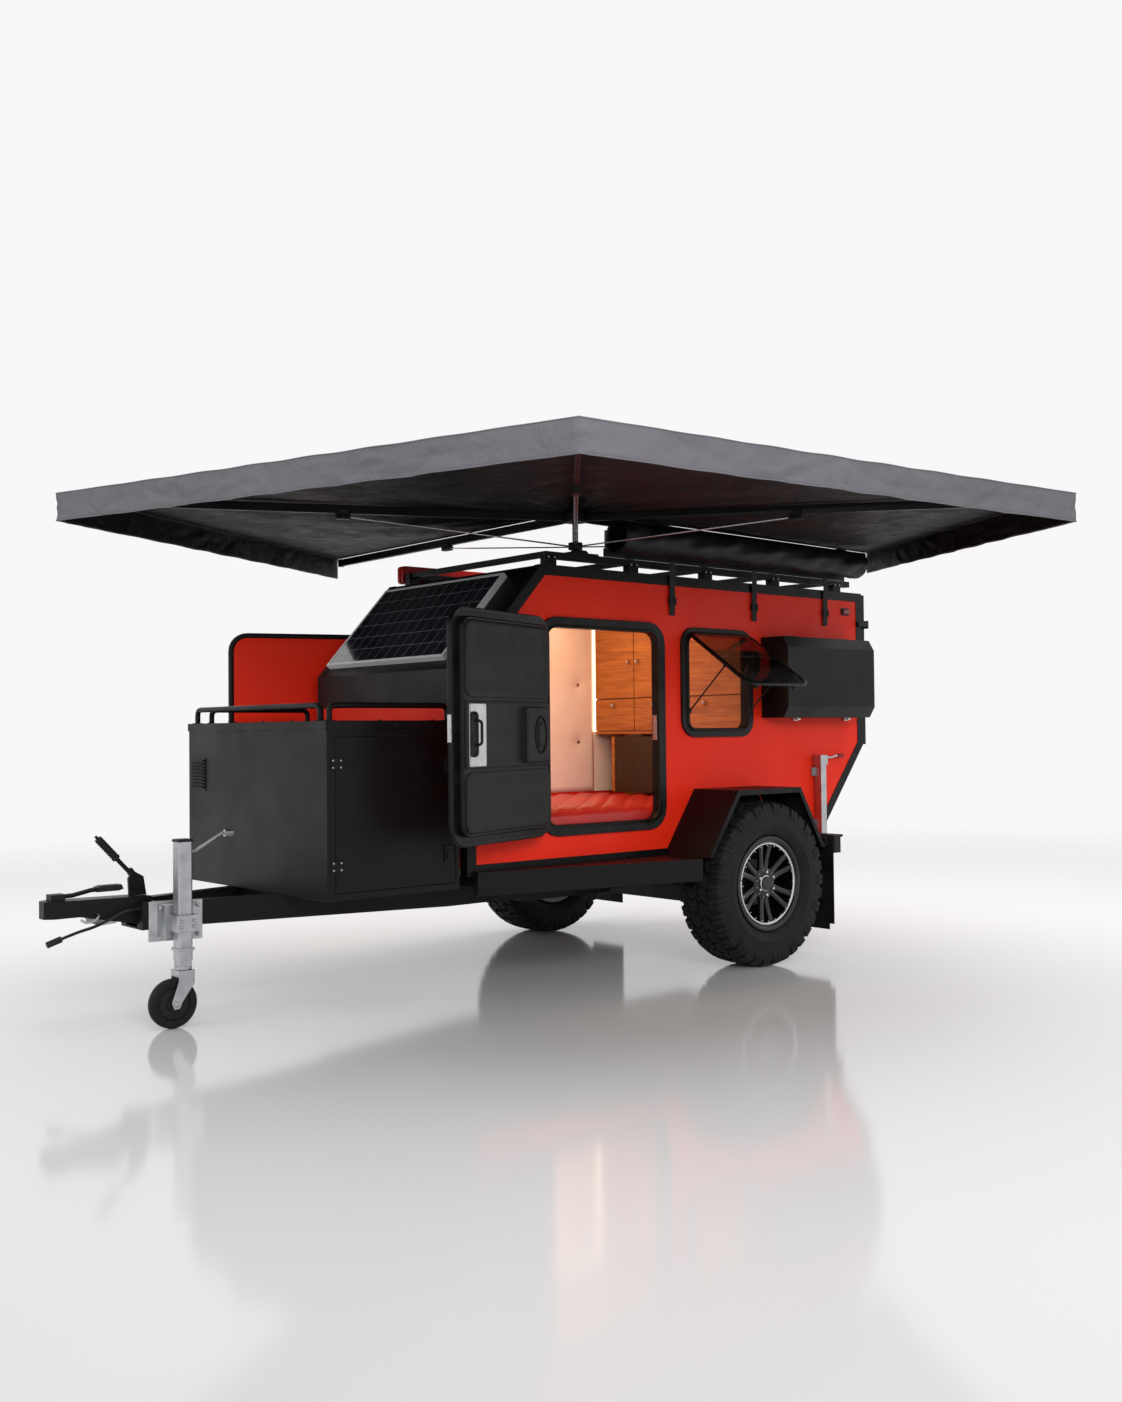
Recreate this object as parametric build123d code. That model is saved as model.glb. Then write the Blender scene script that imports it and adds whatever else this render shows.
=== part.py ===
"""Squaredrop camper trailer, standing on its two wheels and its jockey wheel, doors and awning open.

Trailer axes in millimetres: +X points forward, to the tow coupling, +Y to the trailer's left, +Z up.
Pieces are laid out from the middle of the wheel line on the ground, and each is exported from the
centre of the coupling's ball socket, which is the part's origin.
"""
from build123d import *
import os
from math import atan2, cos, pi, radians, sin, tan

# Tow coupling
SOCKET_X = 3130.0
SOCKET_Z = 470.0
BALL_R = 25.0
SOCKET_CLEARANCE = 0.25

# Wheels and torsion axle
WHEEL_R = 401.5
TREAD_BLOCKS = 32
TYRE_WIDTH = 265.0
TYRE_TO_BODY = 63.5
RIM_R = 222.0
RIM_FLANGE_R = 230.0
RIM_WIDTH = 222.0
RIM_WALL = 14.0
RIM_FLANGE_T = 12.0
SPOKES = 6
DRUM_R = 112.0
DRUM_WIDTH = 62.0
SPOKE_INSET = 34.0
HUB_T = 30.0
HUB_LEN = 40.0
STUB_R = 22.0
AXLE_TUBE = 80.0
AXLE_X = 190.0
ARM_IN = 62.0
RUNNING_GAP = 0.05
CORNER_FLATS = 4
SEAT_GAP = 0.3
SLIDE_GAP = 0.3

# Chassis
RAIL_H = 100.0
RAIL_W = 50.0
RAIL_TOP = 485.0
RAIL_REAR_X = -690.0
NECK_X = 1560.0
NECK_TIP_X = 2830.0
NECK_TIP_Y = 78.0
CROSS_H = 50.0
RAIL_IN = 231.0
CROSS_MEMBERS_X = (1530.0, 1000.0, 430.0, -60.0, -640.0)

# Cabin shell, as a side outline with walls between
BODY_HALF = 611.0
WALL = 30.0
FLOOR_T = 30.0
NOSE_X = 1600.0
NOSE_TOP = 1431.0
ROOF_FRONT_X = 1174.0
ROOF_TOP = 1904.0
REAR_X = -1156.0
KNEE_Z = 1062.0
REAR_FOOT_X = -734.0
TRIM_W = 46.0
TRIM_T = 3.0
APRON_Z = 1275.0
FRONT_WALL_TOP = NOSE_TOP - 15

# Cabin doors, closed size, with their hinge line at the front edge
DOOR_X0 = 418.0
DOOR_X1 = 1188.0
DOOR_Z0 = 690.0
DOOR_Z1 = 1660.0
DOOR_RADIUS = 92.0
DOOR_SKIN = 26.0
DOOR_PLUG = 34.0
DOOR_RIM = 26.0
DOOR_RECESS = 5.0
DOOR_HINGE_OUT = 46.0
DOOR_HINGE_AHEAD = 8.0
DOOR_HINGE_R = 8.0
DOOR_HINGE_PIN = 3.5
DOOR_HINGES_Z = (790.0, 1135.0, 1480.0)
DOOR_HINGE_LEN = 84.0
DOOR_OPEN_DEG = 160.6
DOOR_POCKET_Z = (1054.0, 1250.0)
DOOR_HANDLE_Z = (1090.0, 1206.0)
FRAME_W = 46.0
FRAME_T = 14.0
FRAME_LAP = 12.0
SEAL_GAP = 10.0

# Side window, top hung
WINDOW_X0 = -230.0
WINDOW_X1 = 291.0
WINDOW_Z0 = 1117.0
WINDOW_Z1 = 1660.0
WINDOW_RADIUS = 85.0
WINDOW_OPEN_DEG = 56.0
WINDOW_FRAME_W = 42.0
WINDOW_FRAME_T = 16.0
PANE_T = 12.0

# Front locker
LOCKER_X0 = 1641.0
LOCKER_X1 = 2289.0
LOCKER_TOP = 1200.0
SHEET = 4.0
LOCKER_DOOR = (1662.0, 2250.0, 512.0, 1140.0)
RAIL_TUBE_R = 12.0
RAIL_BEND = 24.0
LOCKER_RAIL_H = 66.0

# Wings, steps, mud flaps
WING_WIDTH = 294.0
WING_T = 4.0
WING_OVER = 59.0
WING_AHEAD = 14.5
WING_BEHIND = 45.5
WING_FRONT_SLANT = 211.0
WING_REAR_SLANT = 185.0
STEP_TOP = 552.0
STEP_H = 104.0
STEP_NARROW = 30.0
FLAP_T = 6.0
FLAP_BEHIND = 31.0
FLAP_FOOT = 130.0
LAMP_H = 90.0
LAMP_DEPTH = 50.0

# Jockey wheel and its clamp
JACK_X = 2715.0
JACK_Y = 222.0
JACK_TUBE = 60.0
JACK_TUBE_WALL = 4.0
JACK_TOP = 735.0
JACK_TUBE_FOOT = 262.0
JOCKEY_R = 97.0
JOCKEY_W = 52.0
JOCKEY_PIN = 8.0
JOCKEY_SIDES = 24
CASTER_TRAIL = 44.0

# Side box
BOX_X0 = -1030.0
BOX_X1 = -310.0
BOX_Z0 = 1212.0
BOX_Z1 = 1630.0
BOX_DEPTH = 181.0
BOX_CHAMFER = 56.0
BOX_LID = 96.0

# Roof rack
RACK_RISE = 74.0
RACK_X0 = -1120.0
RACK_X1 = 1110.0
RACK_IN = 66.0
RACK_RAIL_DROP = 2.0
RACK_RAIL_H = 32.0
RACK_BAR = (40.0, 25.0)
RACK_BARS_X = (1080.0, 560.0, 40.0, -480.0, -1000.0)
BOARD_X0 = 20.0
BOARD_LEN = 1100.0
BOARD_T = 30.0
BOARD_H = 92.0
BOARD_RISE = 40.0

# Awning: five arms on one hub, with cloth between them
HUB_X = 870.0
HUB_IN = 111.0
HUB_RISE = 207.0
ARM_W = 22.0
ARM_H = 38.0
KNUCKLE_R = 58.0
CLOTH_T = 6.0
CLOTH_GAP = 2.0
VALANCE = 118.0
SLIDER_SHARE = 0.48
ARM_REACH = 2240.0
ARM_FALL = 20.0
ARMS = (
    # angle from +X in degrees, reach from the hub, fall of the cloth from the hub to the arm's tip
    (180.0, ARM_REACH, ARM_FALL),
    (114.0, ARM_REACH - 25, ARM_FALL + 75),
    (49.0, ARM_REACH + 6, ARM_FALL + 45),
    (-20.5, ARM_REACH + 55, ARM_FALL + 8),
    (-91.5, ARM_REACH - 28, ARM_FALL - 25),
)
BAG_R = 80.0
BAG_OUT = 39.0
BAG_RISE = 84.0
BAG_SIDES = 10
BAG_X0 = -1080.0
BAG_X1 = 750.0
STRAPS_X = (350.0, -251.0, -831.0)
STRAP_LEN = 357.0

BODY_Z0 = RAIL_TOP + CROSS_H
RAIL_Y = BODY_HALF - RAIL_IN
WING_TOP = 2 * WHEEL_R + WING_OVER
WING_X0 = -WHEEL_R - WING_BEHIND
WING_X1 = WHEEL_R + WING_AHEAD
WING_PROFILE = (
    (WING_X1, STEP_TOP), (WING_X1 - WING_FRONT_SLANT, WING_TOP),
    (WING_X0 + WING_REAR_SLANT, WING_TOP), (WING_X0, STEP_TOP),
)
STEP_REAR_X = WING_X1 - WING_T
FLAP_X = WING_X0 - FLAP_BEHIND
WHEEL_Y = BODY_HALF + TYRE_TO_BODY + TYRE_WIDTH / 2
WING_OUT = BODY_HALF + WING_WIDTH
BOX_OUT = BODY_HALF + BOX_DEPTH
RACK_TOP = ROOF_TOP + RACK_RISE
RACK_Y = BODY_HALF - RACK_IN
HUB_Y = BODY_HALF - HUB_IN
HUB_Z = RACK_TOP + HUB_RISE
BAG_Y = BODY_HALF + BAG_OUT
BAG_Z = RACK_TOP + BAG_RISE
HINGE_X = DOOR_X1 + DOOR_HINGE_AHEAD
HINGE_Y = BODY_HALF + DOOR_HINGE_OUT


def block(x0, x1, y0, y1, z0, z1):
    """A box between two corners."""
    size = (x1 - x0, y1 - y0, z1 - z0)
    centre = ((x0 + x1) / 2, (y0 + y1) / 2, (z0 + z1) / 2)
    return Pos(*centre) * Box(*size)


def side_prism(points, y0, y1):
    """An outline of (x, z) points, carried from y0 to y1."""
    outline = Polyline(*[(x, y0, z) for x, z in points], close=True)
    return extrude(make_face(outline), amount=y1 - y0, dir=(0, 1, 0))


def end_prism(points, x0, x1):
    """An outline of (y, z) points, carried from x0 to x1."""
    outline = Polyline(*[(x0, y, z) for y, z in points], close=True)
    return extrude(make_face(outline), amount=x1 - x0, dir=(1, 0, 0))


def plan_prism(points, z0, z1):
    """An outline of (x, y) points, carried from z0 to z1."""
    outline = Polyline(*[(x, y, z0) for x, y in points], close=True)
    return extrude(make_face(outline), amount=z1 - z0, dir=(0, 0, 1))


def side_panel(x0, x1, z0, z1, radius, y0, y1):
    """A panel that stands along the trailer's side, its round corners drawn in a few flats."""
    left, right, low, high = x0 + radius, x1 - radius, z0 + radius, z1 - radius
    outline = []
    for quarter, (cx, cz) in enumerate(((right, high), (left, high), (left, low), (right, low))):
        for i in range(CORNER_FLATS + 1):
            a = (quarter + i / CORNER_FLATS) * pi / 2
            outline.append((cx + radius * cos(a), cz + radius * sin(a)))
    return side_prism(outline, y0, y1)


def turned(section, sides):
    """A closed outline of (radius, y) points carried round the Y axis, in as many flats as it has sides."""
    rings = []
    for i in range(sides):
        a = 2 * pi * i / sides
        rings.append([Vector(r * cos(a), y, r * sin(a)) for r, y in section])
    faces = []
    for i in range(sides):
        one, two = rings[i - 1], rings[i]
        for j in range(len(section)):
            faces.append(Face(Wire.make_polygon([one[j - 1], one[j], two[j], two[j - 1]], close=True)))
    return Solid(Shell(faces))


def bar(start, end, width, height):
    """A straight bar of rectangular section, its width level."""
    a, b = Vector(*start), Vector(*end)
    run = b - a
    level = run.cross(Vector(0, 0, 1))
    if level.length < 1e-6:
        level = Vector(1, 0, 0)
    plane = Plane(a, x_dir=level.normalized(), z_dir=run.normalized())
    return extrude(plane * Rectangle(width, height), amount=run.length)


def rod(start, end, radius, flats=8):
    """A rod between two points, drawn with a few flats, or truly round where flats is 0."""
    a, b = Vector(*start), Vector(*end)
    run = b - a
    side = Vector(1, 0, 0) if abs(run.normalized().X) < 0.9 else Vector(0, 1, 0)
    plane = Plane(a, x_dir=run.cross(side).normalized(), z_dir=run.normalized())
    section = RegularPolygon(radius, flats) if flats else Circle(radius)
    return extrude(plane * section, amount=run.length)


def bent_rod(points, radius):
    """A rod along straight runs in one plane, mitred where they meet."""
    path = Polyline(*points)
    section = Plane(path @ 0, z_dir=path % 0) * RegularPolygon(radius, 8)
    return sweep(section, path=path, transition=Transition.RIGHT)


def cut_corners(points, cut):
    """The same open line with each inner corner cut off at a distance on both its runs."""
    line = [points[0]]
    for a, b, c in zip(points, points[1:], points[2:]):
        a, b, c = Vector(*a), Vector(*b), Vector(*c)
        line += [tuple(b + (a - b).normalized() * cut), tuple(b + (c - b).normalized() * cut)]
    return line + [points[-1]]


def mirrored(shape):
    """The same piece on the trailer's right side."""
    return mirror(shape, about=Plane.XZ)


def one_node(pieces):
    """Separate pieces kept as the solids of one node."""
    return Compound(children=[solid for piece in pieces for solid in piece.solids()])


def both_sides(shape):
    """A left piece and its right twin."""
    return one_node([shape, mirrored(shape)])


def hinge_fixed(start, end, radius, pin, flats=8):
    """The two outer knuckles of a hinge between two points, with the pin right through."""
    a, b = Vector(*start), Vector(*end)
    third = (b - a) / 3
    return rod(a, a + third, radius) + rod(b - third, b, radius) + rod(a, b, pin, flats)


def hinge_bore(start, end, pin, flats=8):
    """The hole that turns on the pin: its flats stand clear of the pin's corners."""
    across = cos(pi / flats) if flats else 1
    return rod(start, end, (pin + RUNNING_GAP) / across, flats)


def hinge_moving(start, end, radius, pin, flats=8):
    """The middle knuckle of the same hinge, bored for the pin."""
    a, b = Vector(*start), Vector(*end)
    way = (b - a).normalized()
    third = (b - a) / 3
    shape = rod(a + third + way * SEAT_GAP, b - third - way * SEAT_GAP, radius)
    return shape - hinge_bore(start, end, pin, flats)


# Wheel, axis along Y through its own centre; the outer face looks to +Y
def wheel_place(side):
    return Pos(0, side * WHEEL_Y, WHEEL_R)


def tyre():
    """A tyre of one section round the axle: tread, shoulders, sidewalls and beads, a flat for each block."""
    half = TYRE_WIDTH / 2
    seat = RIM_WIDTH / 2 - RIM_FLANGE_T
    bead_r = (RIM_R + 0.3) / cos(pi / TREAD_BLOCKS)
    side = [(RIM_FLANGE_R + 2, seat), (RIM_R + 78, half), (WHEEL_R - 40, half - 4), (WHEEL_R, half - 28)]
    other_side = [(r, -y) for r, y in reversed(side)]
    return turned([(bead_r, -seat), (bead_r, seat), *side, *other_side], TREAD_BLOCKS)


def rim():
    """A cast wheel: barrel, two flanges, six split spokes and a hub with its centre bore closed by a cap."""
    half = RIM_WIDTH / 2
    flange = RIM_FLANGE_T
    inner = RIM_R - RIM_WALL
    face_y = half - SPOKE_INSET
    section = [
        (inner, -half), (RIM_FLANGE_R, -half), (RIM_FLANGE_R, -half + flange), (RIM_R, -half + flange),
        (RIM_R, half - flange), (RIM_FLANGE_R, half - flange), (RIM_FLANGE_R, half), (inner, half),
    ]
    wheel = turned(section, TREAD_BLOCKS)
    face = Plane((0, face_y, 0), x_dir=(1, 0, 0), z_dir=(0, 1, 0))
    hub = extrude(face * RegularPolygon(76, 18), amount=-HUB_T)
    cap = extrude(face * RegularPolygon(34, 12), amount=16)
    wheel += hub + cap
    for i in range(SPOKES):
        leg = extrude(face * Pos(0, inner / 2 + 24) * Rectangle(30, inner - 40), amount=-22)
        for lean in (-9, 9):
            wheel += leg.rotate(Axis.Y, i * 360 / SPOKES + lean)
    return wheel


def hub_drum():
    """The brake drum and hub that carry the wheel, bored to run on the stub axle."""
    outer_y = RIM_WIDTH / 2 - SPOKE_INSET - HUB_T
    back_y = outer_y - HUB_LEN - DRUM_WIDTH
    shape = rod((0, outer_y, 0), (0, outer_y - HUB_LEN, 0), 66, 16)
    shape += rod((0, outer_y - HUB_LEN, 0), (0, back_y, 0), DRUM_R, 24)
    return shape - rod((0, back_y, 0), (0, back_y + DRUM_WIDTH + 10, 0), STUB_R + RUNNING_GAP, 0)


DRUM_INNER_Y = WHEEL_Y + RIM_WIDTH / 2 - SPOKE_INSET - HUB_T - HUB_LEN - DRUM_WIDTH


def axle_half():
    """The left half of the torsion axle's moving end: arm, stub axle and brake back plate."""
    arm_y0 = BODY_HALF - ARM_IN
    back_y = DRUM_INNER_Y - 4
    beam_z = RAIL_TOP - RAIL_H - AXLE_TUBE / 2
    root_x = AXLE_X + 34
    outline = [
        (root_x, beam_z - 30), (root_x, beam_z + 30), (-10, WHEEL_R + 32), (-34, WHEEL_R), (-10, WHEEL_R - 32),
    ]
    arm = side_prism(outline, arm_y0, arm_y0 + 26)
    plate = rod((0, back_y - 6, WHEEL_R), (0, back_y, WHEEL_R), DRUM_R + 4, 24)
    stub = rod((0, back_y - 6, WHEEL_R), (0, back_y + DRUM_WIDTH + 8, WHEEL_R), STUB_R, 24)
    boss = rod((0, arm_y0 + 20, WHEEL_R), (0, back_y - 6, WHEEL_R), STUB_R + 14, 12)
    return arm + plate + stub + boss


def axle():
    """The torsion axle: one square tube under the rails, with an arm and stub at each end."""
    beam_z = RAIL_TOP - RAIL_H - AXLE_TUBE / 2
    end_y = BODY_HALF - ARM_IN
    h = AXLE_TUBE / 2
    beam = block(AXLE_X - h, AXLE_X + h, -end_y, end_y, beam_z - h, beam_z + h)
    half = axle_half()
    return beam + half + mirrored(half)


def neck_face(x):
    """How far the converging rail's outer face stands from the middle at x."""
    run = NECK_TIP_X - NECK_X + 8
    return NECK_TIP_Y + RAIL_W / 2 + (NECK_TIP_X - x) * (RAIL_Y - NECK_TIP_Y) / run


def chassis_frame():
    """Two rails that run back under the cabin and meet at the coupling, with cross members on top."""
    mid_z = RAIL_TOP - RAIL_H / 2
    frame = None
    for side in (1, -1):
        rail = bar((RAIL_REAR_X, side * RAIL_Y, mid_z), (NECK_X, side * RAIL_Y, mid_z), RAIL_W, RAIL_H)
        neck_plan = [
            (NECK_X - 8, side * (RAIL_Y - RAIL_W / 2)), (NECK_X - 8, side * (RAIL_Y + RAIL_W / 2)),
            (NECK_TIP_X, side * (NECK_TIP_Y + RAIL_W / 2)), (NECK_TIP_X, side * (NECK_TIP_Y - RAIL_W / 2)),
        ]
        neck = plan_prism(neck_plan, RAIL_TOP - RAIL_H, RAIL_TOP)
        frame = rail + neck if frame is None else frame + rail + neck
    for x in CROSS_MEMBERS_X:
        frame += block(x - 25, x + 25, -BODY_HALF + 34, BODY_HALF - 34, RAIL_TOP, RAIL_TOP + CROSS_H)
    for x in (NECK_X + 40, LOCKER_X1 - 60):
        y = RAIL_Y + (x - NECK_X) * (NECK_TIP_Y - RAIL_Y) / (NECK_TIP_X - NECK_X)
        frame += block(x - 25, x + 25, -y, y, RAIL_TOP - 60, RAIL_TOP)
    tip_half = NECK_TIP_Y + RAIL_W / 2
    frame += block(NECK_TIP_X - 150, NECK_TIP_X, -tip_half, tip_half, RAIL_TOP - RAIL_H - 8, RAIL_TOP - RAIL_H)
    inner_half = NECK_TIP_Y
    frame += block(HEAD_X0 - 8, HEAD_X0, -inner_half, inner_half, RAIL_TOP - RAIL_H, RAIL_TOP)
    rear_half = RAIL_Y + RAIL_W / 2
    return frame + block(RAIL_REAR_X - 50, RAIL_REAR_X, -rear_half, rear_half, RAIL_TOP - RAIL_H, RAIL_TOP)


# Coupling
HEAD_HALF = 50.0
HEAD_WALL = 6.0
HEAD_X1 = SOCKET_X + 62
HEAD_X0 = NECK_TIP_X - 62
HEAD_TOP = SOCKET_Z + 44
HEAD_REAR_Z = RAIL_TOP - RAIL_H
HEAD_NOSE_Z = SOCKET_Z - 24


def coupling_head():
    """A channel open below, deep where it meets the frame, with the ball socket cast in its nose."""
    outline = [
        (HEAD_X0, HEAD_REAR_Z), (SOCKET_X - 70, HEAD_NOSE_Z), (HEAD_X1, HEAD_NOSE_Z), (HEAD_X1, HEAD_TOP),
        (HEAD_X0, HEAD_TOP - 8),
    ]
    channel = side_prism(outline, -HEAD_HALF, HEAD_HALF)
    inside = [
        (HEAD_X0 - 1, HEAD_REAR_Z - 10), (SOCKET_X - 40, HEAD_NOSE_Z - 10),
        (SOCKET_X - 40, HEAD_TOP - HEAD_WALL), (HEAD_X0 - 1, HEAD_TOP - 8 - HEAD_WALL),
    ]
    hollow = side_prism(inside, -HEAD_HALF + HEAD_WALL, HEAD_HALF - HEAD_WALL)
    corners = []
    for side in (1, -1):
        out, cut = side * (HEAD_HALF + 1), side * (HEAD_HALF - 26)
        plan = [(HEAD_X1 - 34, out), (HEAD_X1 + 1, out), (HEAD_X1 + 1, cut)]
        corners.append(plan_prism(plan, HEAD_NOSE_Z - 1, HEAD_TOP + 1))
    cup = BALL_R + SOCKET_CLEARANCE
    shoulder = cup * (2 ** 0.5 - 1)
    section = Polyline((0, -28), (cup, -28), (cup, shoulder), (shoulder, cup), (0, cup), close=True)
    socket = Pos(SOCKET_X, 0, SOCKET_Z) * revolve(Rot(90, 0, 0) * make_face(section), axis=Axis.Z)
    return channel - hollow - corners[0] - corners[1] - socket


def coupling_handle():
    """The lever that opens the socket, lying along the head's top."""
    z = HEAD_TOP
    x = SOCKET_X
    lever = bent_rod([(x + 20, 0, z + 12), (x - 60, 0, z + 14), (x - 130, 0, z + 28), (x - 200, 0, z + 32)], 9)
    a, b = x - 258, x - 150
    outline = [(a, z + 26), (a + 18, z + 20), (b, z + 20), (b, z + 38), (b - 20, z + 44), (a + 8, z + 44)]
    pad = side_prism(outline, -22, 22)
    head = [(HEAD_X0, HEAD_TOP - 8), (HEAD_X1, HEAD_TOP), (HEAD_X1, HEAD_TOP - 40), (HEAD_X0, HEAD_TOP - 40)]
    saddle = block(x - 22, x + 34, -26, 26, z - 0.5, z + 24)
    return lever + pad + (saddle - side_prism(head, -60, 60))


HANDBRAKE_X = 2812.0


def handbrake():
    """A ratchet plate bolted on the coupling's rear, with its lever leaning forward."""
    x, z = HANDBRAKE_X, HEAD_TOP - 8 + SEAT_GAP + 1.6
    quadrant = side_prism([(x - 42, z), (x + 30, z), (x + 34, z + 70), (x + 8, z + 96), (x - 30, z + 74)], -8, 8)
    foot = (x - 2, 0, z + 62)
    top = (x + 158, 0, z + 236)
    lever = rod(foot, top, 9, 12)
    grip_foot = tuple(f + (t - f) * 0.52 for f, t in zip(foot, top))
    return quadrant + lever + rod(grip_foot, top, 16, 12)


# Jockey wheel
def jack_clamp():
    """The zinc plated bracket on the left rail: back plate, two ribs and the clamp ring of the tube."""
    z0, z1 = RAIL_TOP - 155, RAIL_TOP + 4
    face_y = JACK_Y - JACK_TUBE / 2 - 0.3
    x0, x1 = JACK_X - 112, JACK_X + 94
    seat0, seat1 = neck_face(x0) + 0.3, neck_face(x1) + 0.3
    plate = plan_prism([(x0, seat0), (x0, seat0 + 8), (x1, seat1 + 8), (x1, seat1)], z0, z1)
    x0, x1 = JACK_X - 62, JACK_X + 62
    plan = [(x0, neck_face(x0) + 6), (x0, face_y), (x1, face_y), (x1, neck_face(x1) + 6)]
    pad = plan_prism(plan, z0 + 14, z1 - 10)
    ring = block(JACK_X - 44, JACK_X + 44, face_y, JACK_Y + JACK_TUBE / 2 + 14, z0 + 46, z1 - 46)
    bore = block(JACK_X - JACK_TUBE / 2, JACK_X + JACK_TUBE / 2, face_y - 1, JACK_Y + JACK_TUBE / 2, z0, z1)
    return plate + pad + (ring - bore)


def jack_tube():
    """The square outer tube, capped, with the cranked winding handle on top."""
    half = JACK_TUBE / 2
    section = chamfer(Rectangle(JACK_TUBE, JACK_TUBE).vertices(), 7)
    tube = extrude(Plane((JACK_X, JACK_Y, JACK_TUBE_FOOT)) * section, amount=JACK_TOP - JACK_TUBE_FOOT)
    b = half - JACK_TUBE_WALL
    bore = block(JACK_X - b, JACK_X + b, JACK_Y - b, JACK_Y + b, JACK_TUBE_FOOT, JACK_TOP - 60)
    x, y, z = JACK_X - half, JACK_Y, JACK_TOP - 44
    crank = bent_rod([(x + 8, y, z), (x - 26, y, z), (x - 140, y, z + 62), (x - 168, y, z + 62)], 7)
    knob = rod((x - 150, y, z + 62), (x - 186, y, z + 62), 15, 12)
    return (tube - bore) + crank + knob


def jack_leg():
    """The square inner leg that the crank winds up and down, ending in the swivel's collar."""
    size = JACK_TUBE - 2 * (JACK_TUBE_WALL + SLIDE_GAP)
    foot = 2 * JOCKEY_R + 44
    h = size / 2
    leg = block(JACK_X - h, JACK_X + h, JACK_Y - h, JACK_Y + h, foot, JACK_TOP - 150)
    collar = rod((JACK_X, JACK_Y, foot - 12), (JACK_X, JACK_Y, foot), 34, 0)
    return leg + collar


def jack_fork():
    """The caster fork: a swivel head and two cheeks that lean back to the wheel's axle."""
    top = 2 * JOCKEY_R + 44 - 12 - 0.5
    wheel_x = JACK_X + CASTER_TRAIL
    half = JOCKEY_W / 2 + 6
    head = block(JACK_X - 32, JACK_X + 34, JACK_Y - half - 6, JACK_Y + half + 6, top - 26, top)
    cheek_line = [
        (JACK_X - 32, top - 4), (JACK_X + 34, top - 4), (JACK_X + 34, top - 40), (wheel_x + 20, JOCKEY_R + 6),
        (wheel_x + 10, JOCKEY_R - 20), (wheel_x - 14, JOCKEY_R - 18), (wheel_x - 24, JOCKEY_R + 6),
        (JACK_X - 32, top - 52),
    ]
    cheek = side_prism(cheek_line, JACK_Y + half, JACK_Y + half + 6)
    other = side_prism(cheek_line, JACK_Y - half - 6, JACK_Y - half)
    pin = rod((wheel_x, JACK_Y - half - 3, JOCKEY_R), (wheel_x, JACK_Y + half + 3, JOCKEY_R), JOCKEY_PIN, 0)
    return head + cheek + other + pin


def jockey_wheel():
    """A solid rubber wheel with a dished web, bored for its axle."""
    half = JOCKEY_W / 2
    side = [(JOCKEY_PIN - 1, half), (20, half), (34, half - 12), (64, half - 2), (JOCKEY_R, half - 12)]
    wheel = turned([*side, *[(r, -y) for r, y in reversed(side)]], JOCKEY_SIDES)
    wheel -= rod((0, -half, 0), (0, half, 0), JOCKEY_PIN + RUNNING_GAP, 0)
    return Pos(JACK_X + CASTER_TRAIL, JACK_Y, JOCKEY_R) * wheel


# Cabin
def cabin_outline(grow=0.0):
    """The cabin's side outline from the front foot, round over the roof; grow moves each side outwards."""
    slant = atan2(ROOF_TOP - NOSE_TOP, NOSE_X - ROOF_FRONT_X)
    tail = atan2(KNEE_Z - BODY_Z0, REAR_FOOT_X - REAR_X)
    g = grow
    return [
        (NOSE_X + g, BODY_Z0 - g),
        (NOSE_X + g, NOSE_TOP + g * tan((radians(90) - slant) / 2)),
        (ROOF_FRONT_X + g * tan(slant / 2), ROOF_TOP + g),
        (REAR_X - g, ROOF_TOP + g),
        (REAR_X - g, KNEE_Z - g * tan((radians(90) - tail) / 2)),
        (REAR_FOOT_X - g * tan(tail / 2), BODY_Z0 - g),
    ]


def door_panel(inset, y0, y1):
    """A panel with the door's outline, drawn in by an inset all round, from y0 to y1."""
    x0, x1, z0, z1 = DOOR_X0 + inset, DOOR_X1 - inset, DOOR_Z0 + inset, DOOR_Z1 - inset
    return side_panel(x0, x1, z0, z1, DOOR_RADIUS - inset, y0, y1)


def window_panel(inset, y0, y1):
    """A panel with the window's outline, drawn in by an inset all round, from y0 to y1."""
    x0, x1, z0, z1 = WINDOW_X0 + inset, WINDOW_X1 - inset, WINDOW_Z0 + inset, WINDOW_Z1 - inset
    return side_panel(x0, x1, z0, z1, WINDOW_RADIUS - inset, y0, y1)


def cabin_wall():
    """The left wall: the whole side outline, with the door and window cut through it."""
    wall = side_prism(cabin_outline(), BODY_HALF - WALL, BODY_HALF)
    door = door_panel(FRAME_W - FRAME_LAP, BODY_HALF - WALL - 1, BODY_HALF + 1)
    window = window_panel(WINDOW_FRAME_W, BODY_HALF - WALL - 1, BODY_HALF + 1)
    return wall - door - window


def hinge_flats(place, places):
    """The middle hinge of a row has a truly round pin; the others are drawn with flats."""
    return 0 if place == places[len(places) // 2] else 8


def door_hinge_line(z):
    return (HINGE_X, HINGE_Y, z), (HINGE_X, HINGE_Y, z + DOOR_HINGE_LEN)


def door_frame():
    """The doorway's rubber edged frame on the wall, with the fixed leaves of the door's hinges."""
    y = BODY_HALF
    frame = door_panel(-FRAME_LAP, y, y + FRAME_T) - door_panel(FRAME_W - FRAME_LAP, y - 1, y + FRAME_T + 1)
    for z in DOOR_HINGES_Z:
        knuckles = hinge_fixed(*door_hinge_line(z), DOOR_HINGE_R, DOOR_HINGE_PIN, hinge_flats(z, DOOR_HINGES_Z))
        third = DOOR_HINGE_LEN / 3
        for z0 in (z, z + 2 * third):
            knuckles += block(HINGE_X, HINGE_X + 20, y + 2, HINGE_Y, z0, z0 + third)
        frame += knuckles + block(HINGE_X - 6, HINGE_X + 20, y, y + 8, z, z + DOOR_HINGE_LEN)
    return frame


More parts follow.
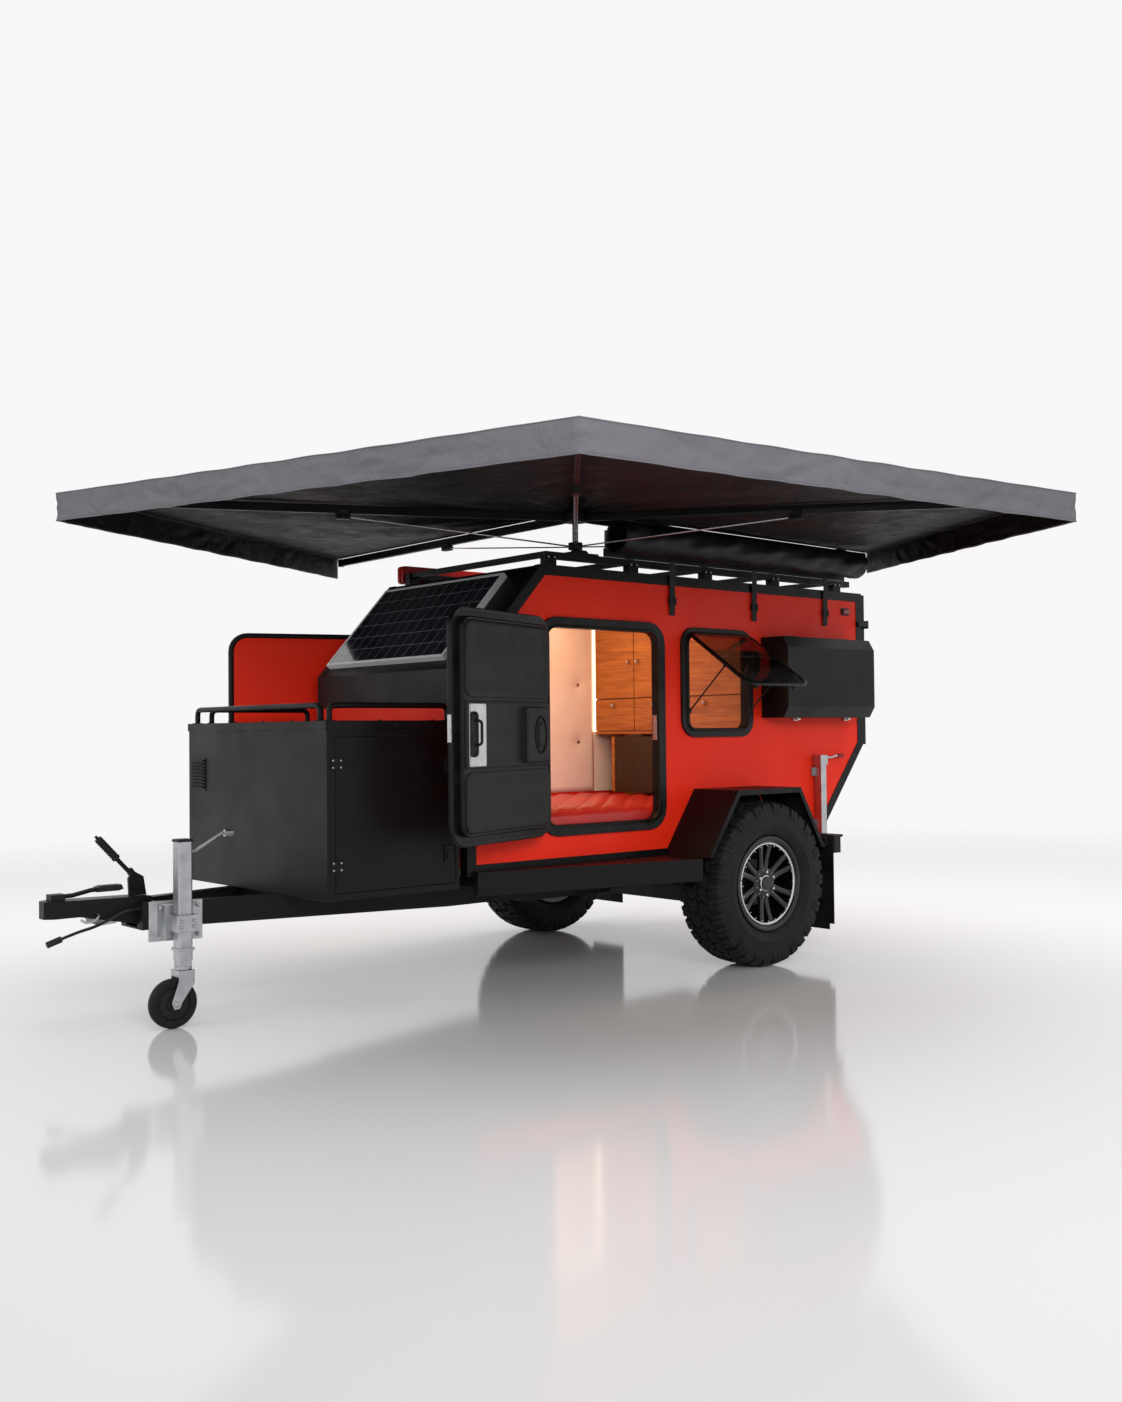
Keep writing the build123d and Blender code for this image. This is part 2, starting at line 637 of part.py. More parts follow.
def door_closed():
    """The left door as it shuts: outer skin with its raised rim, and the plug that fills the frame."""
    y0 = BODY_HALF + FRAME_T + 2
    skin = door_panel(0, y0, y0 + DOOR_SKIN)
    y1 = y0 + DOOR_SKIN
    plug = door_panel(FRAME_W - FRAME_LAP + SEAL_GAP, y0 - DOOR_PLUG, y0 + 1)
    pocket = block(DOOR_X0 + 90, DOOR_X1 - 90, y0 - DOOR_PLUG - 1, y0 - DOOR_PLUG + 12, *DOOR_POCKET_Z)
    recess = door_panel(DOOR_RIM, y1 - DOOR_RECESS, y1 + 1)
    handle = block(DOOR_X0 + 34, DOOR_X0 + 124, y1 - DOOR_RECESS, y1 + 10, *DOOR_HANDLE_Z)
    door = skin + plug - pocket - recess + handle
    for z in DOOR_HINGES_Z:
        third = DOOR_HINGE_LEN / 3
        flats = hinge_flats(z, DOOR_HINGES_Z)
        z0, z1 = z + third + SEAT_GAP, z + 2 * third - SEAT_GAP
        leaf = block(DOOR_X1 - 22, HINGE_X, y1 - 3, HINGE_Y + 2, z0, z1)
        knuckle = hinge_moving(*door_hinge_line(z), DOOR_HINGE_R, DOOR_HINGE_PIN, flats)
        door += (leaf - hinge_bore(*door_hinge_line(z), DOOR_HINGE_PIN, flats)) + knuckle
    return door


def door_open():
    """The left door swung forward to its stop, as it stands in use."""
    return door_closed().rotate(Axis((HINGE_X, HINGE_Y, 0), (0, 0, 1)), -DOOR_OPEN_DEG)


def window_frame():
    """The window's rubber edged frame on the wall."""
    y = BODY_HALF
    return window_panel(0, y, y + WINDOW_FRAME_T) - window_panel(WINDOW_FRAME_W, y - 1, y + WINDOW_FRAME_T + 1)


PANE_Y = BODY_HALF + WINDOW_FRAME_T + SEAT_GAP
PANE_INSET = 34.0
PANE_TOP = WINDOW_Z1 - PANE_INSET


def window_pane_shut():
    """The acrylic pane as it shuts; the right window's stays so."""
    return window_panel(PANE_INSET, PANE_Y, PANE_Y + PANE_T)


def window_pane():
    """The left pane, hung on the frame's top edge and pushed open."""
    return window_pane_shut().rotate(Axis((0, PANE_Y, PANE_TOP), (1, 0, 0)), WINDOW_OPEN_DEG)


def window_stays():
    """Two rods that hold the open pane off the frame, each with a foot and a ball end."""
    reach = (PANE_TOP - WINDOW_Z0 - PANE_INSET) * 0.62
    lean = radians(WINDOW_OPEN_DEG)
    ball = 6.0
    off = ball + SEAT_GAP
    stays = []
    for x in (WINDOW_X0 + 40, WINDOW_X1 - 40):
        high = (x, PANE_Y + reach * sin(lean) - off * cos(lean), PANE_TOP - reach * cos(lean) - off * sin(lean))
        low = (x, BODY_HALF + 26, WINDOW_Z0 + 130)
        foot = block(x - 6, x + 6, PANE_Y, BODY_HALF + 30, low[2] - 14, low[2] + 14)
        eye = rod((x - ball, high[1], high[2]), (x + ball, high[1], high[2]), ball)
        stays.append(rod(low, high, 4) + foot + eye)
    return stays


HATCH_HINGE_R = 6.0
HATCH_HINGE_PIN = 2.5
HATCH_HINGE_Z = ROOF_TOP + 8.0
HATCH_HINGES_Y = (-480.0, -60.0, 360.0)
HATCH_HINGE_LEN = 120.0


def hatch_hinge_line(y):
    return (REAR_X, y, HATCH_HINGE_Z), (REAR_X, y + HATCH_HINGE_LEN, HATCH_HINGE_Z)


def roof_panel():
    """The flat roof, with the fixed leaves of the rear hatch's hinges along its back edge."""
    y = BODY_HALF - WALL
    under = ROOF_TOP - WALL
    outline = [(ROOF_FRONT_X, ROOF_TOP), (REAR_X, ROOF_TOP), (REAR_X, under), (ROOF_FRONT_X - 12, under)]
    roof = side_prism(outline, -y, y)
    third = HATCH_HINGE_LEN / 3
    for hy in HATCH_HINGES_Y:
        flats = hinge_flats(hy, HATCH_HINGES_Y)
        roof += hinge_fixed(*hatch_hinge_line(hy), HATCH_HINGE_R, HATCH_HINGE_PIN, flats)
        for y0 in (hy, hy + 2 * third):
            roof += block(REAR_X, REAR_X + 34, y0, y0 + third, ROOF_TOP - 1, ROOF_TOP + 5)
    return roof


def slope_panel():
    """The sloping front panel that carries the solar panel, with its black apron down over the nose."""
    y = BODY_HALF - WALL
    outline = [
        (NOSE_X, NOSE_TOP), (ROOF_FRONT_X, ROOF_TOP), (ROOF_FRONT_X - 12, ROOF_TOP - WALL),
        (NOSE_X - WALL, FRONT_WALL_TOP), (NOSE_X, FRONT_WALL_TOP),
    ]
    panel = side_prism(outline, -y, y)
    apron = block(NOSE_X, NOSE_X + TRIM_T, -BODY_HALF + TRIM_W, BODY_HALF - TRIM_W, APRON_Z, NOSE_TOP)
    return panel + apron


def front_wall():
    y = BODY_HALF - WALL
    return block(NOSE_X - WALL, NOSE_X, -y, y, BODY_Z0 + FLOOR_T, FRONT_WALL_TOP)


def floor_panel():
    y = BODY_HALF - WALL
    return block(REAR_FOOT_X + 20, NOSE_X, -y, y, BODY_Z0, BODY_Z0 + FLOOR_T)


def tail_panel():
    """The undercut tail, from the knee down to the floor's end."""
    y = BODY_HALF - WALL
    tail = atan2(KNEE_Z - BODY_Z0, REAR_FOOT_X - REAR_X)
    ins = WALL / sin(tail)
    foot = REAR_FOOT_X + 19.9
    outline = [
        (REAR_X, KNEE_Z + 30), (REAR_X, KNEE_Z), (REAR_FOOT_X, BODY_Z0), (foot, BODY_Z0),
        (foot, BODY_Z0 + 8 * tan(tail)), (REAR_X + ins, KNEE_Z + 8), (REAR_X + ins, KNEE_Z + 30),
    ]
    return side_prism(outline, -y, y)


def edge_trim():
    """The black aluminium angle that covers the left wall's edge all round."""
    y = BODY_HALF
    outer = side_prism(cabin_outline(TRIM_T), y - TRIM_W, y + TRIM_T)
    body = side_prism(cabin_outline(), y - TRIM_W - 1, y)
    window = side_prism(cabin_outline(-TRIM_W), y - 1, y + TRIM_T + 1)
    trim = outer - body - window
    rear_gap = block(REAR_X - 20, REAR_X, y - TRIM_W - 1, y, KNEE_Z + 2, ROOF_TOP + 20)
    floor_gap = block(REAR_FOOT_X - 40, NOSE_X + 20, y - TRIM_W - 1, y, BODY_Z0 - 20, BODY_Z0)
    return trim - rear_gap - floor_gap


def rear_hatch():
    """The galley door: one insulated panel hung from the roof's rear edge."""
    top = ROOF_TOP - 8
    back = REAR_X - WALL
    panel = block(back, REAR_X - 0.5, -BODY_HALF + 4, BODY_HALF - 4, KNEE_Z + 8, top)
    frame_cut = block(back - 1, back + 5, -BODY_HALF + 60, BODY_HALF - 60, KNEE_Z + 66, top - 60)
    handle = block(REAR_X - WALL - 14, REAR_X - WALL + 6, -55, 55, KNEE_Z + 100, KNEE_Z + 170)
    hatch = panel - frame_cut + handle
    third = HATCH_HINGE_LEN / 3
    for hy in HATCH_HINGES_Y:
        start, end = hatch_hinge_line(hy)
        y0, y1 = hy + third + SEAT_GAP, hy + 2 * third - SEAT_GAP
        leaf = block(REAR_X - 7, REAR_X - 0.5, y0, y1, top - 20, HATCH_HINGE_Z)
        flats = hinge_flats(hy, HATCH_HINGES_Y)
        hatch += leaf - hinge_bore(start, end, HATCH_HINGE_PIN, flats)
        hatch += hinge_moving(start, end, HATCH_HINGE_R, HATCH_HINGE_PIN, flats)
    return hatch


SOLAR_CLEAR = 2.0
SOLAR_LEFT_IN = 198.0
SOLAR_W = 2 * BODY_HALF - TRIM_W - SOLAR_CLEAR - SOLAR_LEFT_IN
SOLAR_H = 530.0
SOLAR_T = 28.0
SOLAR_RIM = 14.0


def solar_panel():
    """A framed panel on the sloping front, lifted on its frame."""
    slant = atan2(ROOF_TOP - NOSE_TOP, NOSE_X - ROOF_FRONT_X)
    y0 = -BODY_HALF + TRIM_W + SOLAR_CLEAR
    y1 = y0 + SOLAR_W
    middle = ((NOSE_X + ROOF_FRONT_X) / 2, (y0 + y1) / 2, (NOSE_TOP + ROOF_TOP) / 2)
    plane = Plane(middle, x_dir=(0, 1, 0), z_dir=(sin(slant), 0, cos(slant)))
    frame = extrude(plane * Rectangle(SOLAR_W, SOLAR_H), amount=SOLAR_T)
    glass = Rectangle(SOLAR_W - 2 * SOLAR_RIM, SOLAR_H - 2 * SOLAR_RIM)
    return frame - extrude(plane * Pos(0, 0, SOLAR_T - 4) * glass, amount=6)


# Front locker
def locker_shell():
    """The folded steel locker on the drawbar, open at both sides where its doors close it."""
    outer = block(LOCKER_X0, LOCKER_X1, -BODY_HALF, BODY_HALF, RAIL_TOP, LOCKER_TOP)
    y = BODY_HALF - SHEET
    inner = block(LOCKER_X0 + SHEET, LOCKER_X1 - SHEET, -y, y, RAIL_TOP + SHEET, LOCKER_TOP - SHEET)
    x0, x1, z0, z1 = LOCKER_DOOR
    doorway = block(x0, x1, -BODY_HALF - 1, BODY_HALF + 1, z0, z1)
    return outer - inner - doorway


def locker_door():
    """The left locker door, hinged at its front edge, with two flat hinges."""
    x0, x1, z0, z1 = LOCKER_DOOR
    gap = 3
    leaf = block(x0 + gap, x1 - gap, BODY_HALF - 18, BODY_HALF + 1, z0 + gap, z1 - gap)
    for z in (z0 + 110, z1 - 110):
        leaf += block(x1 - 40, x1 + 24, BODY_HALF, BODY_HALF + 3, z - 26, z + 26)
    return leaf


def locker_rails():
    """Three hoops of bent tube: one along the front edge, one along each side of the locker's lid."""
    z0, z1 = LOCKER_TOP, LOCKER_TOP + LOCKER_RAIL_H
    y = BODY_HALF - 30
    x = LOCKER_X1 - 30
    back_x = LOCKER_X0 + 40
    hoops = []
    for a, b in (((x, -y), (x, y - 70)), ((x, y), (back_x, y)), ((x - 70, -y), (back_x, -y))):
        line = [(*a, z0), (*a, z1), (*b, z1), (*b, z0)]
        hoops.append(bent_rod(cut_corners(line, RAIL_BEND), RAIL_TUBE_R))
    return hoops


# Wings and steps
def wing():
    """The left wheel arch: folded sheet in three flats, with the flap's hanger behind it."""
    outer = side_prism(WING_PROFILE, BODY_HALF + TRIM_T, WING_OUT)
    inner_line = [
        (WING_PROFILE[0][0] - 3 - WING_T, WING_PROFILE[0][1] - 1), (WING_PROFILE[1][0] - 2, WING_TOP - WING_T),
        (WING_PROFILE[2][0] + 2, WING_TOP - WING_T), (WING_PROFILE[3][0] + 3 + WING_T, WING_PROFILE[3][1] - 1),
    ]
    arch = outer - side_prism(inner_line, BODY_HALF + TRIM_T - 1, WING_OUT + 1)
    return arch + block(FLAP_X, WING_X0 + 3, BODY_HALF + TRIM_T, WING_OUT, STEP_TOP + 4, STEP_TOP + 48)


def step():
    """The left step: a box that widens from the cabin's front to the wing."""
    y = BODY_HALF + TRIM_T
    plan = [
        (STEP_REAR_X, y), (NOSE_X - 30, y), (NOSE_X - 30, y + STEP_NARROW), (STEP_REAR_X + 44, WING_OUT),
        (STEP_REAR_X, WING_OUT - 40),
    ]
    return plan_prism(plan, STEP_TOP - STEP_H, STEP_TOP)


def mud_flap():
    """The rubber flap behind the left wheel, hung from a bracket at the wing's end."""
    x = FLAP_X
    flap = block(x - FLAP_T, x, BODY_HALF + 30, WING_OUT + 24, FLAP_FOOT, STEP_TOP + 48)
    corner = block(x - FLAP_T - 1, x + 1, WING_OUT - 6, WING_OUT + 26, FLAP_FOOT - 10, FLAP_FOOT + 30)
    return flap - corner


def tail_lamp():
    """A square rear lamp on its bracket, outside the flap."""
    front = FLAP_X - FLAP_T
    back = front - LAMP_DEPTH
    top = STEP_TOP + 58
    body = block(back, front, WING_OUT - LAMP_H, WING_OUT + 30, top - LAMP_H, top)
    hood = block(back - 14, back, WING_OUT - LAMP_H - 6, WING_OUT + 34, top - 10, top + 2)
    return body + hood


# Stabiliser legs
STAB_X = -742.0
STAB_Y = BODY_HALF + TRIM_T + 30
STAB_TUBE = 44.0
STAB_TOP = 1012.0
STAB_FOOT = 545.0


def stabiliser_tube():
    """The left corner leg's outer tube with its two wall brackets, head and winding handle."""
    h = STAB_TUBE / 2
    tube = block(STAB_X - h, STAB_X + h, STAB_Y - h, STAB_Y + h, STAB_FOOT, STAB_TOP - 30)
    bore = block(STAB_X - h + 4, STAB_X + h - 4, STAB_Y - h + 4, STAB_Y + h - 4, STAB_FOOT - 1, STAB_TOP - 60)
    head = block(STAB_X - 30, STAB_X + 30, STAB_Y - 28, STAB_Y + 28, STAB_TOP - 52, STAB_TOP)
    shape = tube - bore + (head - bore)
    for z, stand_off in ((620, TRIM_T + 0.3), (900, 0)):
        shape += block(STAB_X - 44, STAB_X + 44, BODY_HALF + stand_off, STAB_Y - h, z, z + 46)
    x, y, z = STAB_X, STAB_Y, STAB_TOP - 6
    return shape + bent_rod([(x - 20, y, z - 8), (x - 96, y, z - 8), (x - 128, y, z), (x - 160, y, z)], 6)


def stabiliser_leg():
    """The inner leg and its flat foot, wound up."""
    h = STAB_TUBE / 2 - 4 - SLIDE_GAP
    leg = block(STAB_X - h, STAB_X + h, STAB_Y - h, STAB_Y + h, STAB_FOOT - 60, STAB_TOP - 100)
    foot = block(STAB_X - 50, STAB_X + 50, STAB_Y - 36, STAB_Y + 36, STAB_FOOT - 70, STAB_FOOT - 60)
    return leg + foot


# Side box
def box_outline(inset=0.0):
    """The box's end outline in (y, z), with its two outer corners cut off."""
    y0, y1 = BODY_HALF + 0.3, BOX_OUT - inset
    z0, z1 = BOX_Z0 + inset, BOX_Z1 - inset
    c = BOX_CHAMFER
    return [(y0, z0), (y1 - c * 0.6, z0), (y1, z0 + c), (y1, z1 - c), (y1 - c * 0.6, z1), (y0, z1)]


BOX_SPLIT_Y = BOX_OUT - BOX_LID
BOX_HINGE_R = 4.0
BOX_HINGE_PIN = 1.6
BOX_HINGE_LEN = 90.0
BOX_HINGES_X = (BOX_X0 + 100, BOX_X1 - 100 - BOX_HINGE_LEN)


def box_hinge_line(x):
    z = BOX_Z1 + BOX_HINGE_R + SEAT_GAP
    return (x, BOX_SPLIT_Y, z), (x + BOX_HINGE_LEN, BOX_SPLIT_Y, z)


def side_box_whole():
    """Body and lid of the box in one, of folded sheet."""
    outer = end_prism(box_outline(), BOX_X0, BOX_X1)
    inner_line = [(max(y, BODY_HALF + SHEET), z) for y, z in box_outline(SHEET)]
    return outer - end_prism(inner_line, BOX_X0 + SHEET, BOX_X1 - SHEET)


def side_box():
    """The box's body, which stays on the wall."""
    body = side_box_whole() - block(BOX_X0 - 1, BOX_X1 + 1, BOX_SPLIT_Y, BOX_OUT + 1, BOX_Z0 - 1, BOX_Z1 + 1)
    third = BOX_HINGE_LEN / 3
    for x in BOX_HINGES_X:
        body += hinge_fixed(*box_hinge_line(x), BOX_HINGE_R, BOX_HINGE_PIN, hinge_flats(x, BOX_HINGES_X))
        for x0 in (x, x + 2 * third):
            body += block(x0, x0 + third, BOX_SPLIT_Y - 16, BOX_SPLIT_Y - 1, BOX_Z1 - 1, BOX_Z1 + 3)
    return body


def side_box_lid():
    """The box's outer half, hinged along its top and latched below."""
    behind = block(BOX_X0 - 1, BOX_X1 + 1, BODY_HALF - 1, BOX_SPLIT_Y + SEAT_GAP, BOX_Z0 - 1, BOX_Z1 + 1)
    lid = side_box_whole() - behind
    third = BOX_HINGE_LEN / 3
    for x in BOX_HINGES_X:
        start, end = box_hinge_line(x)
        x0, x1 = x + third + SEAT_GAP, x + 2 * third - SEAT_GAP
        leaf = block(x0, x1, BOX_SPLIT_Y + 1, BOX_SPLIT_Y + 16, BOX_Z1 - 1, BOX_Z1 + 3)
        flats = hinge_flats(x, BOX_HINGES_X)
        lid += leaf - hinge_bore(start, end, BOX_HINGE_PIN, flats)
        lid += hinge_moving(start, end, BOX_HINGE_R, BOX_HINGE_PIN, flats)
    return lid


# Roof rack
def roof_rack():
    """The bolted rack's pieces: two side rails, the feet below them, and the cross bars let in between them."""
    w, h = RACK_BAR
    rail_z0, rail_z1 = RACK_TOP - RACK_RAIL_H - RACK_RAIL_DROP, RACK_TOP - RACK_RAIL_DROP
    pieces = []
    for side in (1, -1):
        y = side * RACK_Y
        pieces.append(block(RACK_X0, RACK_X1, y - w / 2, y + w / 2, rail_z0, rail_z1))
        for x in RACK_BARS_X:
            pieces.append(block(x - 32, x + 32, y - 16, y + 26, ROOF_TOP + TRIM_T, rail_z0))
    for x in RACK_BARS_X:
        pieces.append(block(x - w / 2, x + w / 2, -RACK_Y + w / 2, RACK_Y - w / 2, RACK_TOP - h, RACK_TOP))
    return pieces


def recovery_boards():
    """Two moulded boards on edge along the rack's right rail."""
    y1 = -RACK_Y - RACK_BAR[0] / 2 - SEAT_GAP
    top = RACK_TOP + BOARD_RISE
    boards = []
    for i in range(2):
        y = y1 - i * (BOARD_T + SEAT_GAP)
        boards.append(block(BOARD_X0, BOARD_X0 + BOARD_LEN, y - BOARD_T, y, top - BOARD_H, top))
    return boards


# Awning
def along(arm, distance, below=0.0):
    """A point of an arm's line, at a distance from the hub and a depth below the cloth."""
    angle, reach, fall = arm
    a = radians(angle)
    return (HUB_X + distance * cos(a), HUB_Y + distance * sin(a), HUB_Z - fall * distance / reach - below)


def canopy():
    """The cloth as one closed shell: four flat panels between the five arms, with a valance all round."""
    hub, under = (HUB_X, HUB_Y, HUB_Z), (HUB_X, HUB_Y, HUB_Z - CLOTH_T)
    faces = []

    def face(*points):
        faces.append(Face(Wire.make_polygon([Vector(*p) for p in points], close=True)))

    def corner(arm):
        """The cloth's outer top and hem, the hem's inner edge and the inner edge below the cloth."""
        reach = arm[1]
        inner = reach - CLOTH_T * 1.3
        hem = along(arm, inner)[2] - along(arm, reach)[2]
        top, edge = along(arm, reach), along(arm, reach, VALANCE)
        return top, edge, along(arm, inner, VALANCE + hem), along(arm, inner, CLOTH_T)

    for one, two in zip(ARMS, ARMS[1:]):
        (p, p_hem, p_in, p_under), (q, q_hem, q_in, q_under) = corner(one), corner(two)
        face(hub, p, q)
        face(p, q, q_hem, p_hem)
        face(p_hem, q_hem, q_in)
        face(p_hem, q_in, p_in)
        face(p_in, q_in, q_under)
        face(p_in, q_under, p_under)
        face(under, p_under, q_under)
    for arm in (ARMS[0], ARMS[-1]):
        p, p_hem, p_in, p_under = corner(arm)
        face(hub, p, p_hem, p_in, p_under, under)
    return Solid(Shell(faces))


def awning_arms():
    """The five arms, each a flat tube from the hub's knuckle to a corner of the cloth."""
    drop = CLOTH_T + CLOTH_GAP + ARM_H / 2
    arms = []
    for arm in ARMS:
        angle, reach, fall = arm
        seat = KNUCKLE_R + SEAT_GAP + abs(fall) / reach * ARM_H / 2
        arms.append(bar(along(arm, seat, drop), along(arm, reach - 30, drop), ARM_W, ARM_H))
    return arms


COLLAR_R = 34.0
COLLAR_Z = RACK_TOP + 44


def awning_hub():
    """The hub: a bracket on the rack, a post, the collar of the struts, and the knuckle of the arms."""
    top = HUB_Z - CLOTH_T - CLOTH_GAP
    foot = RACK_TOP - RACK_RAIL_DROP
    middle = (HUB_X, HUB_Y)
    post = rod((*middle, foot), (*middle, top + 1.1), 14, 12)
    knuckle = rod((*middle, top - ARM_H - 4), (*middle, top - 4), KNUCKLE_R, 24)
    collar = rod((*middle, COLLAR_Z - 16), (*middle, COLLAR_Z + 16), COLLAR_R, 0)
    base = block(HUB_X - 90, HUB_X + 90, HUB_Y - 40, RACK_Y + 20, foot, foot + 8)
    ends = [(HUB_X - 70, foot), (HUB_X + 70, foot), (HUB_X + 40, foot + 26), (HUB_X - 40, foot + 26)]
    return post + knuckle + collar + base + side_prism(ends, HUB_Y + 26, HUB_Y + 32)


def awning_struts():
    """A strut under each arm, from the hub's collar to a slider that clips round the arm."""
    struts = []
    for arm in ARMS:
        under = CLOTH_T + CLOTH_GAP + ARM_H + 13
        slide = arm[1] * SLIDER_SHARE
        low = (*along(arm, COLLAR_R + 2)[:2], COLLAR_Z)
        slider = bar(along(arm, slide - 34, under), along(arm, slide + 34, under), 36, 25)
        struts.append(rod(low, along(arm, slide, under - 1), 8) + slider)
    return struts


def awning_bag():
    """The empty travel bag: a sleeve of coated cloth, open along its top, on the back rail."""
    around = [radians(90 + 360 * (i + 1) / BAG_SIDES) for i in range(BAG_SIDES - 1)]
    outside = [(BAG_Y + BAG_R * cos(a), BAG_Z + BAG_R * sin(a)) for a in around]
    inside = [(BAG_Y + (BAG_R - 4) * cos(a), BAG_Z + (BAG_R - 4) * sin(a)) for a in around[::-1]]
    return end_prism(outside + inside, BAG_X0, BAG_X1)


def awning_rail():
    """The back rail that carries the bag, on brackets from the rack."""
    y1 = BAG_Y - BAG_R * cos(pi / BAG_SIDES) - SEAT_GAP
    foot = RACK_TOP - RACK_RAIL_DROP
    rail = block(BAG_X0 + 20, BAG_X1 - 10, y1 - 14, y1, BAG_Z - 50, BAG_Z + 40)
    for x in RACK_BARS_X[1:-1]:
        rail += block(x - 20, x + 20, RACK_Y - 15, y1 - 14, foot, foot + 6)
        rail += block(x - 20, x + 20, y1 - 20, y1 - 14, foot, BAG_Z + 40)
    return rail


def bag_straps():
    """Three webbing straps that hang from the bag, down over the wall."""
    sewn_in = 24
    seat = BAG_Z - BAG_R + (sewn_in - 3) * tan(pi / BAG_SIDES) - SEAT_GAP
    hang_z = BAG_Z - STRAP_LEN
    top_y = BAG_Y - sewn_in
    line = [(top_y, seat), (top_y, seat - 20), (BODY_HALF + 12, ROOF_TOP - 40), (BODY_HALF + 9, hang_z)]
    line += [(y + 3, z) for y, z in reversed(line)]
    return [end_prism(line, x - 20, x + 20) for x in STRAPS_X]


# Inside the cabin
BED_TOP = 660.0
MATTRESS_TOP = 800.0
CUPBOARD_X = -213.0
CUPBOARD_Z = 1150.0
BULKHEAD_X = -440.0
PLY = 18.0
WORKTOP_Z = 1096.0
WORKTOP_T = 28.0
SHELF_Z = 1480.0
SHELF_BACK = 120.0
TANK_X = (520.0, 1080.0)
TANK_Z = 360.0
TANK_GAP = 6.0


def bed_base():
    y = BODY_HALF - WALL - 2
    return block(CUPBOARD_X, NOSE_X - WALL - 2, -y, y, BODY_Z0 + FLOOR_T, BED_TOP)


def mattress():
    y = BODY_HALF - WALL - 8
    return side_panel(CUPBOARD_X + 10, NOSE_X - WALL - 10, BED_TOP, MATTRESS_TOP, 30, -y, y)


def cupboards():
    """The plywood bulkhead with a row of cupboards above the foot of the bed and the galley worktop behind."""
    y = BODY_HALF - WALL - 2
    roof = ROOF_TOP - WALL - 4
    tail_x = REAR_X + WALL + 14
    back_x, shelf_x = BULKHEAD_X - PLY, tail_x + SHELF_BACK
    shape = block(back_x, BULKHEAD_X, -y, y, BODY_Z0 + FLOOR_T, roof)
    outer = block(BULKHEAD_X, CUPBOARD_X, -y, y, CUPBOARD_Z, roof)
    shape += outer - block(BULKHEAD_X, CUPBOARD_X - PLY, -y + PLY, y - PLY, CUPBOARD_Z + PLY, roof - PLY)
    shape += block(tail_x, back_x, -y, y, WORKTOP_Z, WORKTOP_Z + WORKTOP_T)
    shape += block(shelf_x, back_x, -y, y, SHELF_Z, SHELF_Z + PLY)
    for cy in (-y + PLY / 2, 0, y - PLY / 2):
        shape += block(shelf_x, back_x, cy - PLY / 2, cy + PLY / 2, SHELF_Z + PLY, roof)
    return shape


def water_tank():
    """The black water tank hung under the floor between the rails."""
    y = RAIL_Y - RAIL_W / 2 - TANK_GAP
    return block(*TANK_X, -y, y, TANK_Z, RAIL_TOP)


# Trailer lead
LEAD_R = 6.0
LEAD_ROUTE = (
    # x, y, z from the grommet in the left rail's end to the plug's back
    (NECK_TIP_X + 6, 80.0, 462.0),
    (2884.0, 80.0, 462.0),
    (2948.0, 74.0, 431.0),
    (3010.0, 66.0, 404.0),
    (3074.0, 61.0, 391.0),
    (3136.0, 57.0, 370.0),
)
PLUG_LEN = 58.0
PLUG_R = 13.0


def lead_radii():
    """One radius for each inner point: 0.45 of its shorter run, over the tangent of half its turn."""
    route = [Vector(*p) for p in LEAD_ROUTE]
    radii = []
    for a, b, c in zip(route, route[1:], route[2:]):
        half_turn = radians((b - a).get_angle(c - b)) / 2
        radii.append(0.45 * min((b - a).length, (c - b).length) / tan(half_turn))
    return radii


def trailer_lead():
    """The electric lead to the towing car: a free tube, with its plug hanging at the end."""
    radii = lead_radii()
    path = FilletPolyline(*LEAD_ROUTE, radius=radii)
    tube = sweep(Plane(path @ 0, z_dir=path % 0) * Circle(LEAD_R), path=path)
    print("lead radii, mm:", [round(r) for r in radii])
    share = tube.volume / (pi * LEAD_R ** 2 * path.length)
    print("lead length, mm:", round(path.length), "volume over section times length:", share)
    return tube


def lead_plug():
    """The plug on the lead's end, and the grommet that the lead comes out of."""
    path = FilletPolyline(*LEAD_ROUTE, radius=lead_radii())
    end, way = path @ 1, path % 1
    plug = rod(end, end + way * PLUG_LEN, PLUG_R, 12)
    x, y, z = LEAD_ROUTE[0]
    grommet = rod((NECK_TIP_X, y, z), (x, y, z), LEAD_R + 5, 12)
    return one_node([plug, grommet])


